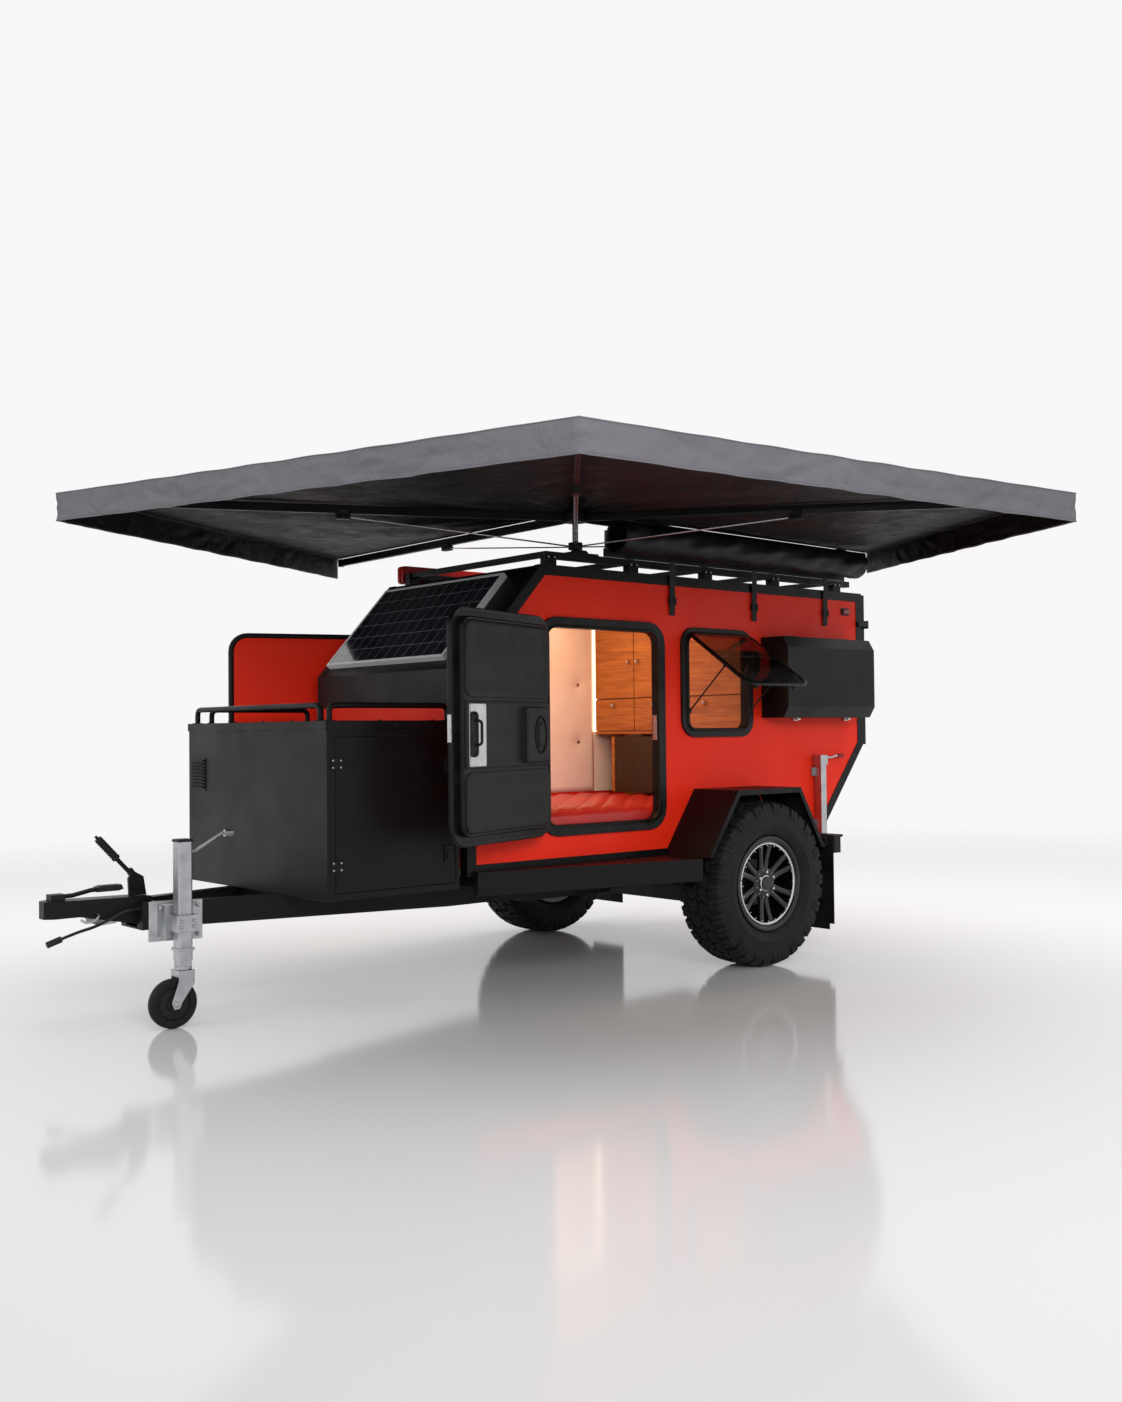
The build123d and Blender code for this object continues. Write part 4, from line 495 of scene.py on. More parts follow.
# Front locker. Folded 2 mm steel, powder coated: a lid with a rolled lip, pressed vents in the front face, a
# door in each side on two flat hinges with a pair of compression latches, and hoops of bent tube on the lid.
dress("locker_shell", black_coat, 2.5)
dress("locker_doors", black_coat, 2)
rear, far, half_wide = 1637, 2293, 615
lip = blocks((far - 4, far, -half_wide, half_wide, 1168, 1203),
             (rear, rear + 4, -half_wide, half_wide, 1168, 1203),
             (rear, far, -half_wide, half_wide, 1200, 1203))
lip_sides = both(blocks((rear + 1, far, half_wide - 4, half_wide, 1168, 1203)))
piece("locker_lid", join(lip, lip_sides), black_coat, edge=1.5)
slat = np.array(((2293, 0), (2300, 2), (2301, 6), (2293, 11)))
slats = [plate(slat + (0, z), 1, -580, -450) for z in 908 + 15 * np.arange(9)]
vent = join(blocks((far - 4, far, -590, -440, 896, 1046)), *slats)
piece("locker_vent", vent, black_coat, edge=0.8)
lid_places = [(x, y, 1203) for x in (1700, 1970, 2240) for y in (-500, -250, 0, 250, 500)]
lid_screws = domes(lid_places, (0, 0, 1), 7, 6)
side_screws = domes([(x, half_wide, 1184) for x in (1690, 1960, 2240)], outwards, 5, 2.4)
piece("locker_screws", join(lid_screws, both(side_screws)), black_plastic)
hinge_screws = [(x, 614.4, z + dz) for x in (2262, 2226) for z in (622, 1030) for dz in (-14, 14)]
piece("locker_hinge_screws", domes(hinge_screws, outwards, 4.5, 2), zinc)
seal = blocks((1662, 2250, 609, 613.6, 1139, 1142), (1662, 2250, 609, 613.6, 510, 513),
              (1660.5, 1663.5, 609, 613.6, 510, 1142), (2248.5, 2251.5, 609, 613.6, 510, 1142))
piece("locker_door_seals", both(seal), rubber)
latches = [box for z in (640, 1010) for box in
           ((1682, 1722, 612, 620, z - 34, z + 34), (1692, 1712, 620, 626, z - 26, z + 18))]
piece("locker_latches", both(blocks(*latches)), black_plastic, edge=2)
lid_top, hoop_top = 1200, 1266
hoops = []
for a, b in (((2259, -581), (2259, 511)), ((2259, 581), (1681, 581)), ((2189, -581), (1681, -581))):
    line = bend([(*a, lid_top), (*a, hoop_top), (*b, hoop_top), (*b, lid_top)], 30, 6)
    hoops.append(carried(circle(12, 14), line, up=(0.37, 0.41, 0.83)))
    hoops += [carried(circle(24, 16), [(*end, lid_top), (*end, lid_top + 6)], up=(1, 0, 0)) for end in (a, b)]
piece("locker_hoops", join(*hoops), black_coat, replaces=["locker_rails"])


# Wings, steps, mud flaps and lamps. Bolted sheet steel arches with a turned-in edge over a black liner; the
# step is a closed box with a pressed anti-slip top, and a rubber flap with its lamp hangs behind.
dress("wings", black_coat, 2)
dress("steps", black_coat, 2.5)
dress("mud_flaps", rubber, 2)
# corners of the arch seen from the side, front foot first: its sheet, its turned-in edge and its liner
arch_sheet = np.array(((414, 552), (204, 860), (-261, 860), (-445, 552)), float)
arch_turn_in = np.array(((386, 552), (190, 836), (-247, 836), (-417, 552)), float)
liner_top = np.array(((402, 556), (200, 846), (-257, 846), (-434, 556)), float)
liner_under = np.array(((396, 556), (197, 842), (-254, 842), (-428, 556)), float)
wall_cover = [(400, 556), (199, 850), (-255, 850), (-432, 556)]
bolt_line = ((398, 566), (300, 702), (150, 849), (-30, 849), (-205, 849), (-340, 700), (-430, 566))
arch_bolts = domes([(x, 907, z) for x, z in bolt_line], outwards, 4.5, 2.5)
piece("wing_edges", both(plate(np.concatenate((arch_sheet, arch_turn_in[::-1])), 1, 903, 907)),
      black_coat, edge=1.2)
piece("wing_liners", both(join(plate(np.concatenate((liner_top, liner_under[::-1])), 1, 640, 880),
                               plate(wall_cover, 1, 611.5, 614))), black_plastic)
piece("wing_bolts", both(arch_bolts), black_coat)
# the step narrows from 905 at its rear end, x 456, to 644 at its front end, x 1570
studs = []
for x in 470 + 36 * np.arange(30):
    edge_y = 905 - (x - 456) * (905 - 644) / (1570 - 456)
    studs += [(x + 18 * (m % 2), 636 + 26 * m, 552) for m in range(int((edge_y - 640) // 30))]
studs += [(x, -y, z) for x, y, z in studs]
piece("step_studs", domes(studs, (0, 0, 1), 6, 2.2, 8), black_coat)
# cast acrylic: deep red, clear at its skin and rippled by the prisms inside
red_lens, tree = new_material("red_acrylic_lens")
cells = add(tree, "TexVoronoi", {"Vector": add(tree, "TexCoord").outputs["Object"], "Scale": 160.0})
ripple = add(tree, "Bump", {"Height": cells, "Strength": 0.5, "Distance": 0.001})
shader = add(tree, "BsdfPrincipled", {"Base Color": linear("#8c0a0c"), "Roughness": 0.12, "Coat Weight": 0.4,
                                      "Transmission Weight": 0.25, "Normal": ripple})
add(tree, "OutputMaterial", {0: shader})
dress("tail_lamps", black_plastic, 2)
piece("tail_lamp_lenses", both(blocks((-540, -533, 822, 928, 524, 560), (-540, -533, 822, 928, 566, 600))),
      red_lens, edge=2)


# Cabin shell. Sandwich panel with a red powder coated aluminium skin, bonded to the frame and covered at
# every edge by a black folded angle with rivets; the slope and nose have a black apron below the solar panel.
# red powder over aluminium: a strong even colour that goes a little duller in patches
red_coat = powder_coat("signal_red_powder_coat", "#e22a13", 0.42, peel=4, wear="#7c1c12")
for node in ("wall_left", "wall_right", "front_wall", "tail_panel"):
    dress(node, red_coat, 0)
dress("rear_hatch", red_coat, 1.5)
for node in ("edge_trims", "roof_panel", "slope_panel"):
    dress(node, black_coat, 1)
piece("hatch_handle", blocks((-1194, -1186, -96, 96, 1148, 1246), (-1200, -1192, -55, 55, 1162, 1232)),
      black_plastic, "hatch", edge=3)
seal = join(both(blocks((-1157, -1154, 586, 606, 1072, 1892))), blocks((-1157, -1154, -606, 606, 1072, 1090)))
piece("hatch_seal", seal, rubber, "hatch")
hinge_leaves = [(-1200, -1188, y - 60, y + 60, 1868, 1902) for y in (-480, -60, 360)]
piece("hatch_hinge_leaves", blocks(*hinge_leaves), black_coat, "hatch", edge=2)
edge_band = join(both(blocks((-1188, -1157, 606, 611, 1066, 1898))),
                 blocks((-1188, -1157, -611, 611, 1894, 1900), (-1188, -1157, -611, 611, 1064, 1070)))
piece("hatch_edge_band", edge_band, black_coat, "hatch", edge=1)
# birch ply under clear lacquer: pale brown, with grain nine times longer than it is wide
birch, tree = new_material("lacquered_birch_ply")
place = add(tree, "TexCoord").outputs["Object"]
laid = add(tree, "Mapping", {"Vector": place, "Scale": (1.0, 9.0, 9.0)})
grain = add(tree, "TexNoise", {"Vector": laid, "Scale": 14.0, "Detail": 6.0, "Roughness": 0.65})
tone = add(tree, "Mix", {0: grain, 6: linear("#b58a58"), 7: linear("#8f653a")}, data_type="RGBA").outputs[2]
shader = add(tree, "BsdfPrincipled", {"Base Color": tone, "Roughness": 0.4})
add(tree, "OutputMaterial", {0: shader})
dress("floor_panel", birch, 0)
dress("bed_base", birch, 1)
# rivets stand 23 mm inside the wall's outline, about 230 mm apart
outline = np.array(((1600, 535), (1600, 1431), (1174, 1904), (-1156, 1904), (-1156, 1062), (-734, 535.0)))
wall_middle = np.array((220, 1150))
rivets = []
for a, b in zip(outline, np.roll(outline, -1, 0)):
    length = np.linalg.norm(b - a)
    way = (b - a) / length
    inward = np.array((-way[1], way[0]))
    inward *= np.sign(np.dot(inward, wall_middle - a))
    count = int(length // 230)
    rivets += [a + way * (40 + k * (length - 80) / max(count, 1)) + inward * 23 for k in range(count + 1)]
for name, side in (("left", 1), ("right", -1)):
    piece(f"trim_rivets_{name}", domes([(x, side * 614, z) for x, z in rivets], (0, side, 0), 4.2, 2),
          black_coat)


# Doors. A red skin in a thick black rubber rim; inside, a thermoformed black lining in three trays, with an
# aluminium pull plate and a moulded latch box. Each hangs on three hinges and folds forward.
def panel_ring(rect, inset=0.0, flats=7):
    """A rectangle with round corners, drawn in by an inset all round, as (x, z) points."""
    x0, x1, z0, z1, radius = rect
    r = max(radius - inset, 3.0)
    x0, x1, z0, z1 = x0 + inset + r, x1 - inset - r, z0 + inset + r, z1 - inset - r
    a = np.linspace(0, pi / 2, flats)
    corners = [np.column_stack((cx + r * np.cos(a + q * pi / 2), cz + r * np.sin(a + q * pi / 2)))
               for q, (cx, cz) in enumerate(((x1, z1), (x0, z1), (x0, z0), (x1, z0)))]
    return np.concatenate(corners)


def moulding(rect, profile, closed=True):
    """A frame with the outline of a rectangle: each profile point is an inset and a depth y."""
    rings = [np.insert(panel_ring(rect, inset), 1, y, axis=1) for inset, y in profile]
    return skin(np.stack(rings), around=True, along=closed, caps=() if closed else (0, -1))


def tray(rect, *profile):
    """A tray or pad: a moulding whose first and last outline are filled in."""
    return moulding(rect, profile, closed=False)

# the left door is drawn shut, and turned about its hinge line to where it stands open
door_open = (-160.6, (0, 1), (1196, 657))
door = (418, 1188, 690, 1660, 92)
door_skin = tray(door, (22, 640), (24, 650), (27, 650.5), (60, 650.5))
door_rim = moulding(door, ((0, 632), (0, 646), (4, 652), (10, 654), (20, 654), (25, 651), (27, 646),
                           (27, 630), (20, 627.6), (4, 627.6)))
door_seal = join(
    moulding(door, ((41, 629), (40, 612), (42, 604), (47, 600), (53, 601), (57, 606), (58, 612), (60, 629))),
    moulding(door, ((18, 627.6), (18, 631), (44, 631), (44, 627.6))))
door_core = tray(door, (55, 628), (58, 608), (63, 603), (80, 602), (110, 602))
tray_depths = ((0, 606), (2, 596), (8, 593), (22, 594), (34, 597), (60, 598), (100, 598))
trays = [tray((474, 1132, z0, z1, radius), *tray_depths)
         for z0, z1, radius in ((1292, 1606, 44), (1004, 1280, 10), (744, 992, 44))]
pull_plate = tray((488, 612, 1012, 1268, 8), (0, 598), (0, 591), (2, 590), (6, 591.5), (20, 591.5))
pull_grip = tray((498, 548, 1050, 1236, 22), (0, 592), (2, 584), (6, 582), (12, 586), (16, 590))
grip_line = bend([(534, 592, 1096), (538, 564, 1104), (538, 564, 1194), (534, 592, 1202)], 12)
grip_bar = carried(circle(6, 12), grip_line, up=(1, 0, 0))
latch_box = tray((900, 1090, 1020, 1256, 12), (0, 598), (0, 574), (4, 569), (12, 567), (30, 567))
a = np.arange(32) * 2 * pi / 32
oval = np.column_stack((1006 + 44 * np.cos(a), np.full(32, 565.5), 1138 + 78 * np.sin(a)))
knob = tray((980, 1032, 1084, 1192, 24), (0, 567), (2, 561), (8, 558), (16, 557))
striker = blocks((415.5, 419, 630, 647, 1112, 1222), (413, 416, 634, 642, 1140, 1172))
outer_handle = join(tray((452, 542, 1090, 1206, 14), (0, 650), (0, 658), (4, 661), (12, 662)),
                    blocks((470, 524, 661, 672, 1136, 1160)))
knuckle = carried(circle(8, 14), [(1196, 657, 28.3), (1196, 657, 55.7)], up=(1, 0, 0))
hinge = join(knuckle, blocks((1140, 1196, 650, 658, 29, 55)))
hinges = join(*[placed(hinge, 0, 0, z) for z in (790, 1135, 1480)])
# extruded rubber: the blackest part, smooth enough to hold a soft highlight
rim_rubber = moulded("extruded_epdm_rubber", "#090909", 0.34, grain=3, depth=0.08, tint=0.06)
# sheet drawn over a mould: charcoal, with a leather grain that breaks the light up
tray_plastic = moulded("thermoformed_abs", "#1d1d1e", 0.5, grain=2.4, depth=0.3, tint=0.12)
# brushed before anodising: silvery, with streaks twelve times longer than they are wide
satin_aluminium = bare_metal("satin_anodised_aluminium", "#cfd1d3", 0.3, 1.2, stretch=(1, 1, 12))
for name, side in (("left", 1), ("right", -1)):
    for part, shape, finish, slot in (
        ("skin", door_skin, red_coat, "red_coat"), ("rim", door_rim, rim_rubber, "rubber"),
        ("seal", door_seal, rim_rubber, "rubber"),
        ("lining", join(door_core, *trays), tray_plastic, "black_plastic"),
        ("pull_plate", pull_plate, satin_aluminium, "aluminium"),
        ("pull_grip", join(pull_grip, grip_bar), black_plastic, "black_plastic"),
        ("latch_box", join(latch_box, knob), tray_plastic, "black_plastic"),
        ("latch_ring", carried(circle(5, 8), oval, up=outwards, closed=True), rim_rubber, "rubber"),
        ("striker", striker, satin_aluminium, "aluminium"),
        ("handle", outer_handle, black_plastic, "black_plastic"),
        ("hinges", hinges, black_coat, "black_coat"),
    ):
        stands_for = [f"door_{name}"] if part == "skin" else ()
        piece(f"door_{name}_{part}", placed(rotated(shape, *door_open), 0, 0, 0, side), finish,
              f"{name}_door", stands_for, edge=1 if part == "hinges" else 0)
dress("door_frames", black_plastic, 2)
doorway_seal = moulding((406, 1200, 678, 1672, 104), (
    (34, 622), (35, 626), (38, 627), (46, 627), (49, 624),
    (49, 578), (42, 578), (42, 581), (46, 581.5), (45.5, 622)))
jamb_striker = blocks((455, 457.5, 584, 612, 1106, 1226))
for name, side in (("left", 1), ("right", -1)):
    piece(f"doorway_seal_{name}", placed(doorway_seal, 0, 0, 0, side), rim_rubber)
    piece(f"jamb_striker_{name}", placed(jamb_striker, 0, 0, 0, side), satin_aluminium, edge=1.5)


# Windows. Two-layer smoked acrylic in a moulded frame; the left one is pushed open on a pair of telescopic
# stays, with two turn catches on its lower edge.
dress("window_frames", black_plastic, 2)
dress("window_stays", black_plastic, 1)
# cast acrylic: grey glass to look through, with hair scratches that soften what it mirrors
acrylic, tree = new_material("smoked_cast_acrylic")
place = add(tree, "TexCoord").outputs["Object"]
scratches = add(tree, "TexNoise", {"Vector": place, "Scale": 60.0})
hazy = add(tree, "MapRange", {0: scratches, 3: 0.02, 4: 0.09})
shader = add(tree, "BsdfPrincipled", {"Base Color": linear("#8b8c90"), "Roughness": hazy, "IOR": 1.49,
                                      "Transmission Weight": 1.0, "Coat Weight": 0.3})
add(tree, "OutputMaterial", {0: shader})
for node in ("window_pane_left", "window_pane_right"):
    dress(node, acrylic, 3)
# the left pane's parts are drawn shut, and turned about its top edge to where the stays hold it
pane_open = (56.0, (1, 2), (627.3, 1626))
pane_band = moulding((-196, 257, 1151, 1626, 51), (
    (-1, 628), (-1.5, 640), (2, 642), (16, 642), (17, 639.6), (17, 627.4), (16, 626.8)))
catches = [box for x in (-110, 170) for box in
           ((x - 22, x + 22, 612, 627, 1166, 1186), (x - 6, x + 6, 600, 614, 1160, 1192))]
piece("window_band_left", rotated(pane_band, *pane_open), rim_rubber)
piece("window_catches_left", rotated(blocks(*catches), *pane_open), black_plastic, edge=2)
piece("window_band_right", mirrored(pane_band), rim_rubber)
window_seal = moulding((-230, 291, 1117, 1660, 85), (
    (32, 627.2), (30, 631), (33, 635), (39, 636), (44, 633), (45, 628),
    (45, 578), (38, 578), (38, 581), (42, 581.5), (41.5, 622)))
piece("window_seal_left", window_seal, rim_rubber)
piece("window_seal_right", mirrored(window_seal), rim_rubber)


# Inside. Ply cupboards veneered in oiled oak stand across the foot of the bed; the walls are lined with cream
# vinyl padded over foam, held by snaps, and strips of warm light run along the ceiling and down the corner.
oak, tree = new_material("oiled_oak_veneer")
place = add(tree, "TexCoord").outputs["Object"]
# oil over oak: orange brown bands of figure along y, broken by darker fibres
laid = add(tree, "Mapping", {"Vector": place, "Scale": (14.0, 1.0, 14.0)})
figure = add(tree, "TexNoise", {"Vector": laid, "Scale": 3.2, "Detail": 5.0, "Distortion": 1.4})
fibre = add(tree, "TexNoise", {"Vector": laid, "Scale": 40.0, "Detail": 4.0})
tone = add(tree, "ValToRGB", {0: figure})
for stop, place_on, colour in zip(tone.color_ramp.elements, (0.34, 0.66), ("#8a4a18", "#c77e36")):
    stop.position, stop.color = place_on, linear(colour)
fine = add(tree, "Mix", {0: fibre, 6: tone, 7: linear("#9a5a22")}, data_type="RGBA").outputs[2]
bump = add(tree, "Bump", {"Height": fibre, "Strength": 0.1, "Distance": 0.0004})
shader = add(tree, "BsdfPrincipled", {"Base Color": fine, "Roughness": 0.34, "Normal": bump})
add(tree, "OutputMaterial", {0: shader})
dress("cupboards", oak, 1)
front = -213.0
leaves = [(front + 0.5, front + 17, y0 + 3, y1 - 3, z0, z1) for z0, z1 in ((1337, 1862), (1153, 1331))
          for y0, y1 in ((-552, -227), (-227, 98), (98, 577))]
piece("cupboard_doors", blocks(*leaves), oak, edge=2)
knob_places = [(front + 17, y, 1540) for y in (-263, -191, 134)]
knob_places += [(front + 17, y, 1296) for y in (-390, -64, 320)]
piece("cupboard_knobs", domes(knob_places, (1, 0, 0), 13, 22, 14), chrome)
# pressed laminate: flat dark brown
dark_board = moulded("dark_laminate", "#3c2a14", 0.4, grain=8)
piece("lower_cabinet", blocks((-438, front + 6, -420, 575, 806, 1120)), dark_board, edge=2)
cabinet_rails = blocks((front, front + 14, -552, 575, 1134, 1150),
                       (front + 6, front + 12, -420, -398, 808, 1120),
                       (front + 6, front + 12, -12, 12, 808, 1120))
piece("lower_cabinet_rails", cabinet_rails, oak, edge=1.5)


def two_tones(name, light, dark, drift, relief, bump, rough, coat=0.0):
    """A cover whose tone drifts between two colours by a noise, embossed with a pattern of Voronoi cells.

    drift is the noise's scale and detail, relief the cells' scale, and bump their strength and height in m.
    """
    material, tree = new_material(name)
    place = add(tree, "TexCoord").outputs["Object"]
    cells = add(tree, "TexVoronoi", {"Vector": place, "Scale": relief})
    cloud = add(tree, "TexNoise", {"Vector": place, "Scale": drift[0], "Detail": drift[1]})
    tone = add(tree, "Mix", {0: cloud, 6: linear(light), 7: linear(dark)}, data_type="RGBA").outputs[2]
    raised = add(tree, "Bump", {"Height": cells, "Strength": bump[0], "Distance": bump[1]})
    shader = add(tree, "BsdfPrincipled", {"Base Color": tone, "Roughness": rough, "Normal": raised,
                                          "Coat Weight": coat})
    add(tree, "OutputMaterial", {0: shader})
    return material


# soft vinyl: warm cream, with pores of about 4 mm, coarser than real ones so that they show
cream = two_tones("cream_vinyl", "#f2e6d8", "#e4d3c0", (9.0, 3.0), 260.0, (0.15, 0.0006), 0.48)
wide, tall, fullness = 636, 1058, 18
snap_x, snap_z = 330, 327
u, v = np.meshgrid(np.linspace(0, wide, 90), np.linspace(0, tall, 140), indexing="ij")
# the padding dips by a falling exponential round each snap, and falls to the wall as a root near its edges
away_u = (u - 120 + snap_x / 2) % snap_x - snap_x / 2
away_v = (v - 284 + snap_z / 2) % snap_z - snap_z / 2
dip = np.exp(-np.hypot(away_u, away_v) / 34)
rise = np.clip(np.minimum.reduce((u, wide - u, v, tall - v)) / 26, 0, 1) ** 0.5
face = np.stack((-200 + u, -579 + fullness * rise * (1 - 0.8 * dip), 806 + v), -1)
rear = np.stack((-200 + u, -580.6 + 0 * u, 806 + v), -1)
edges = [skin(np.stack((face[cut], rear[cut]))) for cut in ((0,), (-1,), (slice(None), 0), (slice(None), -1))]
lining = piece("wall_lining", join(skin(face), skin(rear), *edges), cream, smooth=70)
snaps = [(-80 + snap_x * i, -574, 1090 + snap_z * k) for i in (0, 1) for k in (0, 1)]
piece("lining_buttons", domes(snaps, outwards, 11, 9, 12), chrome)
slope_lining = plate([(1566, 1398), (1160, 1862), (1157, 1859), (1563, 1395)], 1, -574, 574)
flat_linings = blocks((1563, 1567, -574, 574, 806, 1400), (-438, -204, -580, -575, 806, 1148),
                      (-205, 1158, -574, 574, 1867, 1872), (-438, -434, -560, -410, 806, 1148))
piece("front_lining", join(flat_linings, slope_lining), cream, edge=1)
# opal plastic lit from behind: an even warm glow
glow, tree = new_material("warm_light_diffuser")
lamp = add(tree, "Emission", {"Color": linear("#ffe2b8"), "Strength": 3.6})
add(tree, "OutputMaterial", {0: lamp})
strips = blocks((-212, -200, -574, -556, 1150, 1864), (-200, 1120, -576, -560, 1852, 1866),
                (-200, 1120, 560, 576, 1852, 1866))
piece("light_strips", strips, glow)


# Mattress. One foam block in red leatherette, tufted in diamonds: the cover is drawn down to a button at each
# crossing, so it swells between them. The cover is pebbled, with a thin gloss, and bulges over the ply base.
leatherette = two_tones("red_leatherette", "#c2281e", "#9c1812", (12.0, 4.0), 330.0, (0.3, 0.0008), 0.36,
                        coat=0.15)
length, width, foot_x, half_tuft = 1763.0, 1142.0, -203, 75
px, py = np.meshgrid((np.linspace(-1, 1, 210) + 1) / 2 * length, (np.linspace(-1, 1, 150) + 1) / 2 * width,
                     indexing="ij")
# height: a root of the distance to the edge, less a dip that follows two crossing sine ridges
tuft = np.abs(np.sin(pi * (px + py) / 150)) * np.abs(np.sin(pi * (px - py) / 150))
rim_fall = np.clip(np.minimum.reduce((px, length - px, py, width - py)) / 46, 0, 1)
top = 762 + 40 * rim_fall ** 0.5 - 14 * (1 - tuft ** 0.42) * rim_fall
cover = np.stack((foot_x + px, -width / 2 + py, top), -1)
border = np.concatenate((cover[:, 0], cover[-1, 1:-1], cover[::-1, -1], cover[0, -2:0:-1]))
middle = np.array((foot_x + length / 2, 0, 0))
outward = border - middle
outward[:, 2] = 0
outward /= np.maximum(np.abs(outward[:, :1]) / (length / 2), np.abs(outward[:, 1:2]) / (width / 2))
# the sides go down in rings, each a share of the outline's size at a height
sides = [np.column_stack((middle[:2] + outward[:, :2] * size, np.full(len(border), z))) for size, z in
         ((1.0, 762), (1.004, 745), (1.005, 712), (1.004, 684), (0.998, 664), (0.97, 661))]
mattress = piece("mattress_cover", join(skin(cover), skin(np.stack(sides), around=True, caps=(-1,))),
                 leatherette, replaces=["mattress"], smooth=80)
i, k = np.meshgrid(np.arange(24), np.arange(16), indexing="ij")
bx, by = i * half_tuft, k * half_tuft
chosen = ((i + k) % 2 == 0) & (bx > 60) & (bx < length - 60) & (by > 60) & (by < width - 60)
tufts = np.column_stack((foot_x + bx[chosen], -width / 2 + by[chosen], np.full(chosen.sum(), 789.0)))
piece("mattress_buttons", domes(tufts, (0, 0, 1), 8, 5, 8), leatherette)


# Solar panel. A laminate of black cells under tempered glass in a clear anodised frame: cells about 79 by 84
# mm with thin silver bus lines down each, on a grey back sheet. The etched frame has hardly a highlight.
pale_frame = powder_coat("clear_anodised_frame", "#d8dadc", 0.45, peel=2, wear="#a8a9aa", shine=0.5)
dress("solar_panel", pale_frame, 1)
slope_foot, slope_head = np.array((1600, 1431)), np.array((1174, 1904))
slant = atan2(*(slope_head - slope_foot)[::-1] * (1, -1))
normal = np.array((sin(slant), 0, cos(slant)))
down = np.array((cos(slant), 0, -sin(slant)))
slope_middle = (slope_foot + slope_head) / 2
centre = np.array((slope_middle[0], (-563 + 413) / 2, slope_middle[1])) + normal * 24.6
wide, tall = 974 - 28, 530 - 28
corners = [(-wide / 2, -tall / 2), (wide / 2, -tall / 2), (wide / 2, tall / 2), (-wide / 2, tall / 2)]
rings = np.array([[centre + (0, y, 0) + down * z + normal * h for y, z in corners] for h in (0, 1.6)])


def lay_out(thing, name, places):
    """Gives a mesh its own UV map: each corner of a face takes its point's place from an array, in mm."""
    point_of = np.empty(len(thing.data.loops), int)
    thing.data.loops.foreach_get("vertex_index", point_of)
    layer = thing.data.uv_layers.new(name=name)
    layer.data.foreach_set("uv", places[point_of].astype(np.float32).ravel())


laminate = piece("solar_laminate", skin(rings, around=True, caps=(0, -1)), black_coat)
where = rings.reshape(-1, 3) - centre
lay_out(laminate, "cells", np.column_stack((where[:, 1] + wide / 2, where @ down + tall / 2)))
# silicon under glass: blue black with a clear gloss, its lines drawn wider than life so that they show
solar, tree = new_material("monocrystalline_cells_under_glass")
uv = add(tree, "UVMap", uv_map="cells")
parts = add(tree, "SeparateXYZ", {0: uv}).outputs
def line_every(tree, place, spacing, thick):
    """1 on a thin line at each multiple of twice the spacing: the folded place is below the thickness."""
    part = add(tree, "Math", {0: place, 1: spacing}, operation="PINGPONG")
    return add(tree, "Math", {0: part, 1: thick}, operation="LESS_THAN")

def lattice(tree, parts, wide, tall, thick):
    """1 on the lines of a grid whose cells are twice as wide and tall as given."""
    lines = {axis: line_every(tree, parts[axis], half, thick) for axis, half in enumerate((wide, tall))}
    return add(tree, "Math", lines, operation="MAXIMUM")


gaps = lattice(tree, parts, 39.4, 41.8, 1.5)
bars = line_every(tree, parts[0], 13.13, 0.45)
cloudy = add(tree, "TexNoise", {"Vector": uv, "Scale": 0.012, "Detail": 3.0})
cell = add(tree, "Mix", {0: cloudy, 6: linear("#0d0f16"), 7: linear("#191c27")}, data_type="RGBA").outputs[2]
wired = add(tree, "Mix", {0: bars, 6: cell, 7: linear("#3c3f47")}, data_type="RGBA").outputs[2]
shown = add(tree, "Mix", {0: gaps, 6: wired, 7: linear("#7e8188")}, data_type="RGBA").outputs[2]
shader = add(tree, "BsdfPrincipled", {"Base Color": shown, "Roughness": 0.12, "Coat Weight": 0.6,
                                      "Coat Roughness": 0.03})
add(tree, "OutputMaterial", {0: shader})
laminate.data.materials[0] = solar


# Stabiliser legs. Galvanised square tubes on brackets at the rear corners, wound up by a cranked handle.
for node in ("stabiliser_tubes", "stabiliser_leg_left", "stabiliser_leg_right"):
    dress(node, zinc, 1.5)
leg_bolts = domes([(-742 + dx, 613, z) for dx in (-34, 34) for z in (632, 654, 912, 934)], outwards, 6, 6, 6)
piece("stabiliser_bolts", both(leg_bolts), zinc)
# dipped vinyl: dull dark red
grip_vinyl = moulded("red_grip", "#8e1410", 0.5)
crank_knob = carried(circle(11, 12), [(-892, 644, 1006), (-938, 644, 1006)])
piece("stabiliser_knobs", both(crank_knob), grip_vinyl, edge=3)


# Side box. Folded aluminium with mitred corners, powder coated black; two draw latches hold its lid down.
dress("side_box", black_coat, 3)
dress("side_box_lid", black_coat, 3)
draw_latches = [box for x in (-880, -460) for box in
                ((x - 18, x + 18, 690, 716, 1196, 1213), (x - 12, x + 12, 716, 736, 1200, 1209))]
piece("side_box_latches", blocks(*draw_latches), satin_aluminium, edge=1.5)
# Roof rack and recovery boards. Bolted extrusions with T-slots; the boards are moulded in red nylon with ramp
# cleats and hand holes, and stand on edge outside the right rail.
dress("roof_rack", black_coat, 1.5)
rack_bolts = [(x + dx, 571.2, 1950) for x in (1080, 560, 40, -480, -1000) for dx in (-18, 18)]
piece("rack_bolts", both(domes(rack_bolts, outwards, 6, 5, 6)), zinc)
